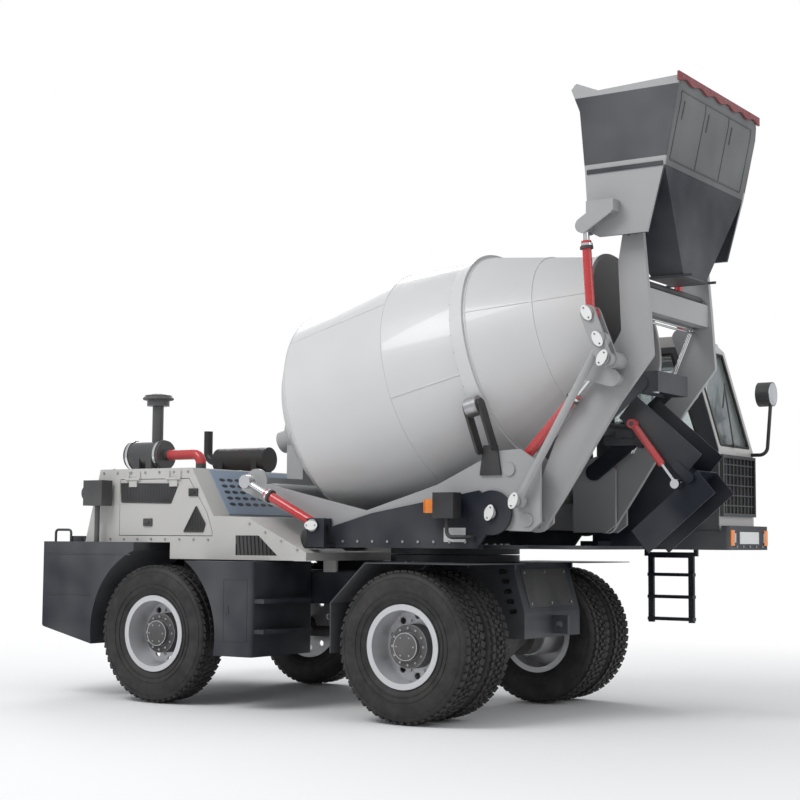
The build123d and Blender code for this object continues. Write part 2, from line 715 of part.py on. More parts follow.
with BuildPart() as rear_lamps:
    for side in (-1, 1):
        block((lamp_x - lamp_half_length, lamp_x + lamp_half_length),
              (side * lamp_y - lamp_half_width, side * lamp_y + lamp_half_width), (lamp_low_z, lamp_high_z))
        rod((lamp_x, side * lamp_y, tank_high_z), (lamp_x, side * lamp_y, lamp_low_z), lamp_arm_radius)
        rod((lamp_x - lamp_half_length - lamp_arm_radius, side * lamp_y, (lamp_low_z + lamp_high_z) / 2),
            (lamp_x - lamp_half_length, side * lamp_y, (lamp_low_z + lamp_high_z) / 2), lamp_half_width)
finish(rear_lamps, "rear_lamps")

# Drive line: transfer case hung between the rails, with a shaft to each axle
case_rear_x = -1100.0
case_front_x = -780.0
case_half_width = 170.0
case_low_z = 420.0
shaft_radius = 42.0
yoke_length = 60.0

with BuildPart() as drive_line:
    block((case_rear_x, case_front_x), (-case_half_width, case_half_width), (case_low_z, rail_high_z))
    block((case_rear_x + yoke_length, case_front_x - yoke_length), (-rail_inner_y, rail_inner_y),
          (rail_low_z + plate, rail_high_z - plate))
    rod((rear_axle_x + housing_radius, 0, axle_height), (case_rear_x, 0, axle_height), shaft_radius)
    rod((case_front_x, 0, axle_height), (-housing_radius, 0, axle_height), shaft_radius)
    for joint_x in (rear_axle_x + housing_radius, case_rear_x - yoke_length, case_front_x,
                    -housing_radius - yoke_length):
        rod((joint_x, 0, axle_height), (joint_x + yoke_length, 0, axle_height), shaft_radius + plate)
finish(drive_line, "drive_line")

# Layers across the machine, from the middle outwards, the same on both sides
ear_inner_y = 475.0
ear_inner_end_y = 500.0
arm_inner_y = 515.0
arm_outer_y = 555.0
lift_y = 610.0
frame_inner_y = 665.0
frame_outer_y = 690.0
turret_inner_y = 700.0
turret_outer_y = 725.0
crank_inner_y = 700.0
crank_plate = 15.0
link_y = 750.0
crank_outer_y = 800.0
pin_radius = 34.0
cap_radius_small = 46.0
cap_thick = 12.0
eye_radius = 52.0
barrel_radius = 40.0
rod_radius = 24.0
collar_length = 40.0
eye_gap = 4.0

# Pins of the upper machine, by X and Z
tip_pin = (405.0, 1440.0)
tilt_low_pin = (-1030.0, 1350.0)
tilt_high_pin = (-1700.0, 1680.0)
arm_pin = (670.0, 1390.0)
level_low_pin = (630.0, 1520.0)
lift_low_pin = (530.0, 1740.0)
lift_high_pin = (1140.0, 2385.0)
crank_pin = (1310.0, 2460.0)
level_high_pin = (crank_pin[0] + level_low_pin[0] - arm_pin[0], crank_pin[1] + level_low_pin[1] - arm_pin[1])
curl_low_pin = (1190.0, 2770.0)
curl_high_pin = (1150.0, 3370.0)
bucket_pin = (1410.0, 3370.0)
tilt_y = 800.0

# Turret: turning ring, floor plate, side plates with the drum frame's pins, and the front deck
floor_z = slew_top + plate
turret_rear_x = -1000.0
turret_rear_z = 1330.0
turret_knee_x = -600.0
turret_knee_z = 1440.0
turret_crest_x = 300.0
turret_toe_x = 290.0
turret_tip_radius = 155.0
floor_rear_x = -1040.0
floor_front_x = 1000.0
floor_neck_x = 560.0
floor_neck_y = 455.0
deck_high_z = 1250.0
deck_half_width = 620.0

turret_outline = [
    (turret_rear_x, slew_top), (turret_rear_x, turret_rear_z), (turret_knee_x, turret_knee_z),
    (turret_crest_x, tip_pin[1] + turret_tip_radius), (tip_pin[0] + turret_tip_radius / 2, tip_pin[1]),
    (turret_toe_x, slew_top),
]


def cylinder_barrel(foot, head, length, mid_y, radius):
    """Make a cylinder's barrel: eye at its foot, tube and end collar towards its rod."""
    run = Vector(head[0] - foot[0], 0, head[1] - foot[1]).normalized()
    base = Vector(foot[0], mid_y, foot[1])
    start = base + run * (pin_radius + eye_gap * 2)
    end = base + run * length
    eye_half = radius - eye_gap * 2
    pin_y(foot[0], foot[1], mid_y - eye_half, mid_y + eye_half, eye_radius)
    rod(start, end, radius - eye_gap)
    rod(end - run * collar_length, end, radius)
    rod(base + run * (eye_radius * 1.5), end + run * overrun, rod_radius + pin_fit, Mode.SUBTRACT)
    pin_y(foot[0], foot[1], mid_y - radius, mid_y + radius, pin_radius + pin_fit, Mode.SUBTRACT)


def cylinder_rod(foot, head, length, mid_y, radius):
    """Make a cylinder's rod: eye at its head and the bright bar into its barrel."""
    run = Vector(foot[0] - head[0], 0, foot[1] - head[1]).normalized()
    base = Vector(head[0], mid_y, head[1])
    pin_y(head[0], head[1], mid_y - radius + eye_gap, mid_y + radius - eye_gap, eye_radius)
    rod(base + run * (eye_radius / 2), base + run * length, rod_radius)


with BuildPart() as turret_frame:
    with Locations((slew_x, 0, (bearing_split_z + bearing_gap + slew_top) / 2)):
        Cylinder(slew_radius, slew_top - bearing_split_z - bearing_gap)
    with Locations((slew_x, 0, (slew_base + slew_top) / 2)):
        Cylinder(bearing_bore - pin_fit, slew_top - slew_base)
    block((floor_rear_x, floor_neck_x), (-deck_half_width, deck_half_width), (slew_top, floor_z))
    block((floor_neck_x, floor_front_x), (-floor_neck_y, floor_neck_y), (slew_top, floor_z))
    block((floor_rear_x, turret_toe_x), (-turret_outer_y, turret_outer_y), (slew_top, floor_z))
    with Locations((slew_x, 0, slew_top)):
        Cylinder(bearing_bore - plate, (slew_top - slew_base + plate) * 2, mode=Mode.SUBTRACT)
    for low_y, high_y in both_sides(turret_inner_y, turret_outer_y):
        slab(turret_outline, low_y, high_y)
        pin_y(tip_pin[0], tip_pin[1], low_y, high_y, turret_tip_radius)
    for low_y, high_y in both_sides(frame_inner_y + running_gap, turret_outer_y + cap_thick):
        pin_y(tip_pin[0], tip_pin[1], low_y, high_y, pin_radius)
    for low_y, high_y in both_sides(turret_outer_y, turret_outer_y + cap_thick):
        pin_y(tip_pin[0], tip_pin[1], low_y, high_y, cap_radius_small)
    for low_y, high_y in both_sides(turret_inner_y, tilt_y + barrel_radius + plate):
        pin_y(tilt_low_pin[0], tilt_low_pin[1], low_y, high_y, pin_radius)
    for low_y, high_y in both_sides(tilt_y + barrel_radius, tilt_y + barrel_radius + plate):
        block((tilt_low_pin[0] - eye_radius, turret_rear_x + plate * 3), (low_y, high_y),
              (slew_top, tilt_low_pin[1] + eye_radius))
    for low_y, high_y in both_sides(turret_inner_y, tilt_y + barrel_radius + plate):
        block((tilt_low_pin[0] - eye_radius, turret_rear_x + plate * 3), (low_y, high_y), (slew_top, floor_z))
    for low_y, high_y in both_sides(turret_inner_y, turret_outer_y):
        block((tilt_low_pin[0] - eye_radius, turret_rear_x + plate), (low_y, high_y),
              (slew_top, tilt_low_pin[1] + eye_radius))
finish(turret_frame, "turret_frame")

# Ladder: two stiles and three rungs, hung on a hinge bar below the cab's door
ladder_front_x = 920.0
ladder_rear_x = 530.0
ladder_y = 1575.0
ladder_thick = 30.0
ladder_hinge_z = 1150.0
ladder_top_z = 1166.0
ladder_low_z = 610.0
stile_width = 45.0
rung_depth = 60.0
rung_height = 26.0
rung_heights = (625.0, 800.0, 975.0)
ladder_hinge_radius = 8.0

# Cab deck: the floor that carries the cab on the left, with the bumper across its front
cab_inner_y = 870.0
cab_outer_y = 1570.0
cab_rear_x = 420.0
cab_front_x = 1420.0
cab_low_z = 1330.0
cab_deck_outer_y = 1610.0
cab_deck_front_x = 1450.0
bumper_low_z = 1190.0
bumper_high_z = 1370.0
bumper_reach = 60.0
bumper_inner_y = 845.0
bumper_outer_y = 1640.0
deck_tie_rear_x = 405.0
deck_tie_width = 150.0

with BuildPart() as cab_deck:
    block((cab_rear_x - plate, cab_deck_front_x), (cab_inner_y - plate, cab_deck_outer_y),
          (slew_top, cab_low_z))
    block((cab_rear_x, cab_deck_front_x - plate * 2), (cab_inner_y + plate, cab_deck_outer_y - plate * 2),
          (slew_top - overrun, cab_low_z - plate), Mode.SUBTRACT)
    block((deck_tie_rear_x, deck_tie_rear_x + deck_tie_width), (deck_half_width, cab_inner_y - plate),
          (slew_top, deck_high_z))
    for lug_x in (ladder_rear_x - hinge_gap - hinge_lug, ladder_front_x + hinge_gap):
        block((lug_x, lug_x + hinge_lug), (ladder_y - ladder_thick / 2, ladder_y + ladder_thick / 2),
              (ladder_hinge_z - ladder_hinge_radius * 2, slew_top))
    rod((ladder_rear_x - hinge_gap - hinge_lug, ladder_y, ladder_hinge_z),
        (ladder_front_x + hinge_gap + hinge_lug, ladder_y, ladder_hinge_z), ladder_hinge_radius)


    block((cab_deck_front_x, cab_deck_front_x + bumper_reach), (bumper_inner_y, bumper_outer_y),
          (bumper_low_z, bumper_high_z))
    fillet(cab_deck.edges().filter_by(Axis.Z).group_by(Axis.X)[-1], bumper_reach / 2)
finish(cab_deck, "cab_deck")

# Cab: hollow shell with its windows cut, door opening on the outer side
cab_high_z = 2800.0
cab_wall = 40.0
cab_front_bend_z = 1940.0
cab_screen_top_x = 1190.0
cab_screen_top_z = 2740.0
roof_drop = 60.0
sill_z = 1960.0
window_margin = 70.0
door_rear_x = 500.0
door_low_z = 1400.0
door_high_z = 2700.0
door_front_x = 1130.0
cab_door_gap = 6.0
glass_thick = 6.0
cab_hinge_x = door_rear_x + cab_door_gap / 2
cab_hinge_places = (1600.0, 2450.0)

cab_outline = [
    (cab_rear_x, cab_low_z), (cab_rear_x, cab_high_z - roof_drop), (cab_rear_x + roof_drop, cab_high_z),
    (cab_screen_top_x - roof_drop, cab_high_z), (cab_screen_top_x, cab_screen_top_z),
    (cab_front_x, cab_front_bend_z), (cab_front_x, cab_low_z),
]
cab_side_window = [
    (cab_rear_x + window_margin * 2, sill_z),
    (cab_rear_x + window_margin * 2, cab_screen_top_z - window_margin),
    (cab_screen_top_x - window_margin * 2, cab_screen_top_z - window_margin),
    (cab_front_x - window_margin * 2, sill_z),
]
cab_door_outline = [
    (door_rear_x, door_low_z), (door_rear_x, door_high_z - roof_drop), (door_rear_x + roof_drop, door_high_z),
    (door_front_x - roof_drop, door_high_z), (door_front_x, door_high_z - roof_drop),
    (door_front_x, door_low_z),
]
door_window = [
    (door_rear_x + window_margin, sill_z), (door_rear_x + window_margin, door_high_z - window_margin),
    (door_front_x - window_margin, door_high_z - window_margin), (door_front_x - window_margin, sill_z),
]
screen_run = Vector(cab_screen_top_x - cab_front_x, 0, cab_screen_top_z - cab_front_bend_z)
screen_out = Vector(screen_run.Z, 0, -screen_run.X).normalized()
screen_mid = Vector((cab_screen_top_x + cab_front_x) / 2, (cab_inner_y + cab_outer_y) / 2,
                    (cab_screen_top_z + cab_front_bend_z) / 2)
screen_plane = Plane(origin=screen_mid - screen_out * (cab_wall / 2), x_dir=(0, 1, 0), z_dir=screen_out)
pane_width = cab_outer_y - cab_inner_y - window_margin * 2
screen_height = screen_run.length - window_margin
rear_pane_height = cab_screen_top_z - window_margin - sill_z

with BuildPart() as cab_shell:
    slab(cab_outline, cab_inner_y, cab_outer_y)
    shrunk(cab_outline, cab_inner_y + cab_wall, cab_outer_y - cab_wall, -cab_wall, Mode.SUBTRACT)
    slab(cab_side_window, cab_inner_y - overrun, cab_inner_y + cab_wall + overrun, Mode.SUBTRACT)
    slab(cab_door_outline, cab_outer_y - cab_wall - overrun, cab_outer_y + overrun, Mode.SUBTRACT)
    with BuildSketch(screen_plane) as screen_hole:
        Rectangle(pane_width, screen_height)
    extrude(screen_hole.sketch, amount=cab_wall * 2, both=True, mode=Mode.SUBTRACT)
    for hinge_z in cab_hinge_places:
        hinge_part(Vector(cab_hinge_x, cab_outer_y + hinge_stand, hinge_z), Vector(0, 0, 1), Vector(0, 1, 0),
                   Vector(-1, 0, 0), True)
    block((cab_rear_x - overrun, cab_rear_x + cab_wall + overrun),
          (cab_inner_y + window_margin, cab_outer_y - window_margin), (sill_z, sill_z + rear_pane_height),
          Mode.SUBTRACT)
finish(cab_shell, "cab_shell")

with BuildPart() as cab_door:
    shrunk(cab_door_outline, cab_outer_y - cab_wall, cab_outer_y, -cab_door_gap, Mode.ADD)
    slab(door_window, cab_outer_y - cab_wall - overrun, cab_outer_y + overrun, Mode.SUBTRACT)
    for hinge_z in cab_hinge_places:
        hinge_part(Vector(cab_hinge_x, cab_outer_y + hinge_stand, hinge_z), Vector(0, 0, 1), Vector(0, 1, 0),
                   Vector(1, 0, 0), False)
finish(cab_door, "cab_door")

with BuildPart() as cab_door_glass:
    glass_y = cab_outer_y - cab_wall / 2
    slab(door_window, glass_y - glass_thick / 2, glass_y + glass_thick / 2)
finish(cab_door_glass, "cab_door_glass")

with BuildPart() as cab_glass:
    glass_y = cab_inner_y + cab_wall / 2
    slab(cab_side_window, glass_y - glass_thick / 2, glass_y + glass_thick / 2)
    with BuildSketch(screen_plane) as screen_pane:
        Rectangle(pane_width, screen_height)
    extrude(screen_pane.sketch, amount=glass_thick)
    block((cab_rear_x + cab_wall / 2, cab_rear_x + cab_wall / 2 + glass_thick),
          (cab_inner_y + window_margin, cab_outer_y - window_margin), (sill_z, sill_z + rear_pane_height))
finish(cab_glass, "cab_glass")

# Cab guard: a mesh of bars in a frame on the lower front
guard_low = 1440.0
guard_high = 1900.0
guard_bar = 10.0
guard_stand = 30.0
guard_frame_width = 24.0
guard_columns = 9
guard_rows = 6
guard_left_y = cab_outer_y - guard_frame_width
guard_right_y = cab_inner_y + guard_frame_width

with BuildPart() as cab_guard:
    block((cab_front_x, cab_front_x + guard_stand), (guard_right_y, guard_left_y), (guard_low, guard_high))
    block((cab_front_x - overrun, cab_front_x + guard_stand + overrun),
          (guard_right_y + guard_frame_width, guard_left_y - guard_frame_width),
          (guard_low + guard_frame_width, guard_high - guard_frame_width), Mode.SUBTRACT)
    for step in range(1, guard_columns):
        bar_y = guard_right_y + (guard_left_y - guard_right_y) * step / guard_columns
        block((cab_front_x + guard_bar, cab_front_x + guard_bar * 2), (bar_y, bar_y + guard_bar),
               (guard_low, guard_high))
    for step in range(1, guard_rows):
        bar_z = guard_low + (guard_high - guard_low) * step / guard_rows
        block((cab_front_x + guard_bar, cab_front_x + guard_bar * 2), (guard_right_y, guard_left_y),
               (bar_z, bar_z + guard_bar))
finish(cab_guard, "cab_guard")

# Driver's place: seat on its box, console and steering wheel
seat_x = 620.0
seat_y = (cab_inner_y + cab_outer_y) / 2
seat_width = 440.0
seat_length = 460.0
seat_low_z = 1560.0
cushion = 110.0
back_height = 620.0
seat_box_width = 320.0
floor_high_z = cab_low_z + cab_wall
column_x = 1200.0
column_top_x = 1060.0
column_top_z = 1960.0
column_radius = 45.0
wheel_radius = 190.0
wheel_rim = 16.0

with BuildPart() as cab_interior:
    block((seat_x, seat_x + seat_length), (seat_y - seat_width / 2, seat_y + seat_width / 2),
          (seat_low_z, seat_low_z + cushion))
    block((seat_x - cushion, seat_x), (seat_y - seat_width / 2, seat_y + seat_width / 2),
          (seat_low_z, seat_low_z + back_height))
    fillet(cab_interior.edges().filter_by(Axis.Y), cushion / 4)
    block((seat_x, seat_x + seat_box_width), (seat_y - seat_box_width / 2, seat_y + seat_box_width / 2),
          (floor_high_z, seat_low_z))
    top = Vector(column_top_x, seat_y, column_top_z)
    foot = Vector(column_x, seat_y, floor_high_z + column_radius)
    lean = (top - foot).normalized()
    rod(foot, top, column_radius)
    block((column_x - column_radius * 2, column_x + column_radius * 2),
          (seat_y - column_radius * 2, seat_y + column_radius * 2),
          (floor_high_z, floor_high_z + column_radius * 2))
    with BuildSketch(Plane(origin=top, z_dir=lean)) as wheel_ring:
        Circle(wheel_radius)
        Circle(wheel_radius - wheel_rim * 2, mode=Mode.SUBTRACT)
        Rectangle(wheel_radius * 2 - wheel_rim, wheel_rim * 2)
    extrude(wheel_ring.sketch, amount=wheel_rim * 2)
finish(cab_interior, "cab_interior")

# Mirror: a bent arm from the cab's front corner with its head
mirror_head_x = 1500.0
mirror_head_y = 1640.0
mirror_head_z = 2400.0
mirror_radius = 95.0
mirror_depth = 50.0
mirror_arm_radius = 14.0
mirror_foot_z = 1922.0
mirror_bend = 60.0

with BuildPart() as mirror:
    mirror_out_x = mirror_head_x + mirror_radius / 2
    pipe([(cab_front_x, cab_outer_y - window_margin / 2, mirror_foot_z),
          (mirror_out_x, cab_outer_y - window_margin / 2, mirror_foot_z),
          (mirror_out_x, mirror_head_y, mirror_head_z)], mirror_bend, mirror_arm_radius)
    rod((mirror_head_x - mirror_depth, mirror_head_y, mirror_head_z),
        (mirror_out_x + mirror_arm_radius, mirror_head_y, mirror_head_z), mirror_radius)
finish(mirror, "mirror")

with BuildPart() as ladder:
    low_y = ladder_y - ladder_thick / 2
    high_y = ladder_y + ladder_thick / 2
    for stile_x in (ladder_rear_x, ladder_front_x - stile_width):
        block((stile_x, stile_x + stile_width), (low_y, high_y), (ladder_low_z, ladder_top_z))
    for rung_z in rung_heights:
        block((ladder_rear_x, ladder_front_x), (ladder_y - rung_depth / 2, ladder_y + rung_depth / 2),
              (rung_z, rung_z + rung_height))
    block((ladder_rear_x, ladder_front_x), (low_y, high_y), (ladder_top_z - stile_width, ladder_top_z))
    rod((ladder_rear_x - overrun, ladder_y, ladder_hinge_z),
        (ladder_front_x + overrun, ladder_y, ladder_hinge_z),
        ladder_hinge_radius + pin_fit, Mode.SUBTRACT)
finish(ladder, "ladder")

# Drum frame: side plates from the tilt cylinders to the front ears, joined by cross tubes
frame_rear_x = -1840.0
frame_rear_z = 1720.0
frame_rear_low_z = 1620.0
frame_waist_x = -670.0
frame_waist_z = 1460.0
frame_waist_low_z = 1330.0
frame_belly_x = -1130.0
frame_rise_x = -60.0
frame_rise_z = 1640.0
frame_crest_x = 440.0
frame_crest_z = 1870.0
frame_heel_x = 200.0
frame_heel_z = 1330.0
ear_front_x = 770.0
ear_top_x = 610.0
ear_top_z = 1880.0
ear_brow_z = 1780.0
ear_low_z = 1370.0
ear_toe_x = 690.0
ear_radius = 70.0
ear_rear_x = 420.0
tube_radius = 60.0
# Columns: X and Z of each cross tube
cross_tubes = ((-1560.0, 1610.0), (-300.0, 1450.0), (300.0, 1590.0))

frame_outline = [
    (frame_rear_x, frame_rear_low_z), (frame_rear_x, frame_rear_z), (frame_waist_x, frame_waist_z),
    (frame_rise_x, frame_rise_z), (frame_crest_x, frame_crest_z), (ear_top_x, ear_top_z),
    (ear_front_x, ear_brow_z), (ear_front_x, ear_low_z), (ear_toe_x, ear_low_z - ear_radius + cap_thick),
    (frame_heel_x, frame_heel_z), (frame_waist_x, frame_waist_low_z),
    (frame_belly_x, frame_waist_low_z + cap_thick),
]
inner_ear_outline = [
    (ear_rear_x, frame_crest_z - tube_radius), (ear_top_x, ear_top_z), (ear_front_x, ear_brow_z),
    (ear_front_x, ear_low_z), (ear_toe_x, ear_low_z - ear_radius + cap_thick),
    (ear_rear_x, ear_low_z - ear_radius + cap_thick),
]

with BuildPart() as drum_frame:
    for low_y, high_y in both_sides(frame_inner_y, frame_outer_y):
        slab(frame_outline, low_y, high_y)
        pin_y(tilt_high_pin[0], tilt_high_pin[1], low_y, high_y, eye_radius * 2)
        pin_y(tip_pin[0], tip_pin[1], low_y - overrun, high_y + overrun, pin_radius + pin_fit, Mode.SUBTRACT)
    for low_y, high_y in both_sides(ear_inner_y, ear_inner_end_y):
        slab(inner_ear_outline, low_y, high_y)
    for tube_x, tube_z in cross_tubes:
        pin_y(tube_x, tube_z, -frame_inner_y, frame_inner_y, tube_radius)
    for low_y, high_y in both_sides(ear_inner_y, frame_inner_y):
        block((ear_rear_x, ear_rear_x + plate), (low_y, high_y), (ear_low_z, frame_crest_z - tube_radius))
    for low_y, high_y in both_sides(ear_inner_y, frame_outer_y):
        pin_y(arm_pin[0], arm_pin[1], low_y, high_y, pin_radius)
        pin_y(lift_low_pin[0], lift_low_pin[1], low_y, high_y, pin_radius)
    for low_y, high_y in both_sides(frame_outer_y, frame_outer_y + cap_thick):
        pin_y(arm_pin[0], arm_pin[1], low_y, high_y, cap_radius_small)
        pin_y(lift_low_pin[0], lift_low_pin[1], low_y, high_y, cap_radius_small)
    for low_y, high_y in both_sides(frame_inner_y, crank_outer_y):
        pin_y(level_low_pin[0], level_low_pin[1], low_y, high_y, pin_radius)
finish(drum_frame, "drum_frame")

# Drum: a turned shell with a dished rear end, two cones, the roller ring and an open mouth
drum_tilt = 14.15
drum_seam_x = -1288.0
drum_seam_z = 2205.0
drum_wall = 12.0
drum_seam_radius = 850.0
drum_waist_radius = 876.0
drum_waist = 917.0
ring_start = 1480.0
ring_width = 100.0
ring_radius = 790.0
ring_lip = 22.0
mouth_length = 2430.0
mouth_radius = 500.0
mouth_lip = 16.0
dish_depth = 300.0
dish_radius = 360.0
rear_cone_length = 150.0
drum_hub_radius = 190.0
drum_hub_length = 90.0
output_radius = 60.0
drum_axis = Vector(cos(radians(drum_tilt)), 0, sin(radians(drum_tilt)))
drum_origin = Vector(drum_seam_x, 0, drum_seam_z)
drum_plane = Plane(origin=drum_origin, x_dir=(0, 1, 0), z_dir=drum_axis)


def drum_section():
    """Give the drum's outer line as radius and distance along its axis."""
    return [
        (dish_radius, -dish_depth), (drum_seam_radius - drum_wall * 6, -rear_cone_length / 2),
        (drum_seam_radius, 0), (drum_waist_radius, drum_waist), (ring_radius, ring_start),
        (ring_radius + ring_lip, ring_start), (ring_radius + ring_lip, ring_start + ring_width),
        (ring_radius, ring_start + ring_width), (mouth_radius, mouth_length),
        (mouth_radius + mouth_lip, mouth_length), (mouth_radius + mouth_lip, mouth_length + mouth_lip * 2),
    ]


with BuildPart() as drum_shell:
    with BuildSketch(Plane.XZ) as drum_profile:
        with BuildLine():
            outer = [(0, -dish_depth)] + drum_section()
            inner = [
                (mouth_radius - drum_wall, mouth_length + mouth_lip * 2),
                (mouth_radius - drum_wall, mouth_length),
                (ring_radius - drum_wall * 2, ring_start + ring_width / 2),
                (drum_waist_radius - drum_wall, drum_waist), (drum_seam_radius - drum_wall, drum_wall),
                (drum_seam_radius - drum_wall * 7, drum_wall - rear_cone_length / 2),
                (dish_radius, drum_wall - dish_depth), (0, drum_wall - dish_depth),
            ]
            Polyline(*outer, *inner, close=True)
        make_face()
    revolve(drum_profile.sketch, axis=Axis.Z, revolution_arc=360)
    with Locations((0, 0, -dish_depth - drum_hub_length / 2)):
        Cylinder(drum_hub_radius, drum_hub_length)
    with Locations((0, 0, -dish_depth - drum_hub_length)):
        Cylinder(output_radius + pin_fit, drum_hub_length, mode=Mode.SUBTRACT)
drum_shell.part = drum_plane.location * drum_shell.part
finish(drum_shell, "drum_shell")

# Rollers: one at each side under the drum's ring, each on a bracket bolted to the frame
roller_radius = 70.0
roller_gap = 2.0
roller_angle = 28.0
roller_axle_radius = 20.0
bracket_thick = 18.0
bracket_width = 90.0
bracket_drop = 700.0
bracket_foot_y = 736.0
bracket_plate = [(300.0, 1700.0), (470.0, 1700.0), (440.0, 1910.0), (330.0, 1910.0)]
ring_mid = drum_origin + drum_axis * (ring_start + ring_width / 2)
roller_reach = ring_radius + ring_lip + running_gap + roller_radius
roller_y = roller_reach * cos(radians(roller_angle))
roller_drop = roller_reach * sin(radians(roller_angle))


def across_ring(along):
    """Give the plane across the drum's axis at a distance from the middle of the ring."""
    return Plane(origin=ring_mid + drum_axis * along, x_dir=(0, 1, 0), z_dir=drum_axis)


with BuildPart() as roller_brackets:
    for side in (-1, 1):
        for along in (-ring_width / 2 - bracket_thick, ring_width / 2):
            with BuildSketch(across_ring(along)) as cheek:
                with Locations((side * (roller_y + bracket_foot_y) / 2, -(roller_drop + bracket_drop) / 2)):
                    SlotCenterToCenter(
                         hypot(roller_y - bracket_foot_y, bracket_drop - roller_drop), bracket_width,
                                       rotation=degrees(atan2(roller_drop - bracket_drop,
                                                              side * (bracket_foot_y - roller_y))))
            extrude(cheek.sketch, amount=bracket_thick)
    for side in (-1, 1):
        slab(bracket_plate, *sorted((side * frame_outer_y, side * (frame_outer_y + bracket_thick))))
        axle_plane = across_ring(-ring_width / 2 - bracket_thick)
        axle_start = axle_plane.from_local_coords((side * roller_y, -roller_drop, 0))
        rod(axle_start, axle_start + drum_axis * (ring_width + bracket_thick * 2), roller_axle_radius)
finish(roller_brackets, "roller_brackets")

for name, side in sides:
    with BuildPart() as roller:
        start_plane = across_ring(roller_gap - ring_width / 2)
        start = start_plane.from_local_coords((side * roller_y, -roller_drop, 0))
        end = start + drum_axis * (ring_width - roller_gap * 2)
        rod(start, end, roller_radius)
        rod(start - drum_axis * overrun, end + drum_axis * overrun, roller_axle_radius + pin_fit,
            Mode.SUBTRACT)
    finish(roller, f"roller_{name}")

# Drum drive: gearbox and motor behind the drum, on a pedestal across the frame's rear
gear_gap = 6.0
gear_radius = 170.0
gear_length = 160.0
motor_radius = 92.0
motor_length = 150.0
pedestal_half_width = 150.0
pedestal_front_x = -1660.0
pedestal_rear_x = -1820.0
beam_low_z = 1640.0
drive_start = -dish_depth - drum_hub_length - gear_gap

with BuildPart() as drum_drive:
    face = drum_origin + drum_axis * drive_start
    rod(face, face - drum_axis * gear_length, gear_radius)
    rod(face - drum_axis * gear_length, face - drum_axis * (gear_length + motor_length), motor_radius)
    rod(face, face + drum_axis * (gear_gap + drum_hub_length / 2 - gear_gap), output_radius)
    block((pedestal_rear_x, pedestal_front_x), (-pedestal_half_width, pedestal_half_width),
          (frame_rear_z, drum_seam_z - gear_radius))
    block((pedestal_rear_x, pedestal_front_x), (-frame_inner_y, frame_inner_y), (beam_low_z, frame_rear_z))
finish(drum_drive, "drum_drive")

# Tilt cylinders: barrels on the turret, rods towards the drum frame's rear
tilt_barrel_length = 540.0
tilt_rod_length = 400.0

with BuildPart() as tilt_barrels:
    for mid_y in (-tilt_y, tilt_y):
        cylinder_barrel(tilt_low_pin, tilt_high_pin, tilt_barrel_length, mid_y, barrel_radius)
finish(tilt_barrels, "tilt_barrels")

with BuildPart() as tilt_rods:
    for mid_y in (-tilt_y, tilt_y):
        cylinder_rod(tilt_low_pin, tilt_high_pin, tilt_rod_length, mid_y, barrel_radius)
finish(tilt_rods, "tilt_rods")

# Loader arms: two bent plates, a box beam between them, the lift brackets and the crank bosses
arm_end_radius = 85.0
arm_top_radius = 78.0
arm_size = (bucket_pin[0] - arm_pin[0], bucket_pin[1] - arm_pin[1])
# Columns: share of the arm's reach, share of its rise, both from its lower pin
arm_shares = (
    (-0.095, 0.02), (0.203, 0.278), (0.446, 0.414), (0.662, 0.51), (0.878, 0.646), (0.851, 0.884),
    (0.905, 1.0), (1.095, 1.0), (1.149, 0.773), (1.189, 0.556), (0.865, 0.404), (0.297, 0.086),
    (0.108, -0.015),
)
cross_low_z = 2800.0
cross_high_z = 2960.0
cross_rear_x = 1350.0
cross_front_x = 1500.0
lift_bracket_foot = (1300.0, 2340.0)
lift_bracket_width = 116.0
lift_bracket_low_y = 656.0
lift_bracket_high_y = 674.0
crank_boss_radius = 58.0
crank_gap = 2.0

with BuildPart() as loader_arms:
    for low_y, high_y in both_sides(arm_inner_y, arm_outer_y):
        slab(from_shares(arm_shares, arm_pin, arm_size), low_y, high_y)
        pin_y(arm_pin[0], arm_pin[1], low_y, high_y, arm_end_radius)
        pin_y(bucket_pin[0], bucket_pin[1], low_y, high_y, arm_top_radius)
        pin_y(arm_pin[0], arm_pin[1], low_y - overrun, high_y + overrun, pin_radius + pin_fit, Mode.SUBTRACT)
        pin_y(bucket_pin[0], bucket_pin[1], low_y - overrun, high_y + overrun, pin_radius + pin_fit,
              Mode.SUBTRACT)
    block((cross_rear_x, cross_front_x), (-arm_inner_y, arm_inner_y), (cross_low_z, cross_high_z))
    for low_y, high_y in both_sides(lift_bracket_low_y, lift_bracket_high_y):
        link(lift_high_pin, lift_bracket_foot, lift_bracket_width, low_y, high_y)
    for low_y, high_y in both_sides(arm_outer_y, lift_bracket_high_y):
        pin_y(lift_bracket_foot[0], lift_bracket_foot[1], low_y, high_y, barrel_radius)
    for low_y, high_y in both_sides(arm_outer_y, crank_inner_y - crank_gap):
        pin_y(crank_pin[0], crank_pin[1], low_y, high_y, crank_boss_radius)
    for low_y, high_y in both_sides(arm_outer_y, crank_outer_y + cap_thick):
        pin_y(crank_pin[0], crank_pin[1], low_y, high_y, pin_radius)
finish(loader_arms, "loader_arms")

# Lift cylinders, between the arms and the frame's ears
lift_barrel_length = 700.0
lift_rod_length = 780.0

with BuildPart() as lift_barrels:
    for mid_y in (-lift_y, lift_y):
        cylinder_barrel(lift_low_pin, lift_high_pin, lift_barrel_length, mid_y, barrel_radius)
finish(lift_barrels, "lift_barrels")

with BuildPart() as lift_rods:
    for mid_y in (-lift_y, lift_y):
        cylinder_rod(lift_low_pin, lift_high_pin, lift_rod_length, mid_y, barrel_radius)
finish(lift_rods, "lift_rods")

# Cranks: two plates each, on the arms' bosses, joined by a spacer and the upper pins
crank_width = 112.0
link_half = 32.0

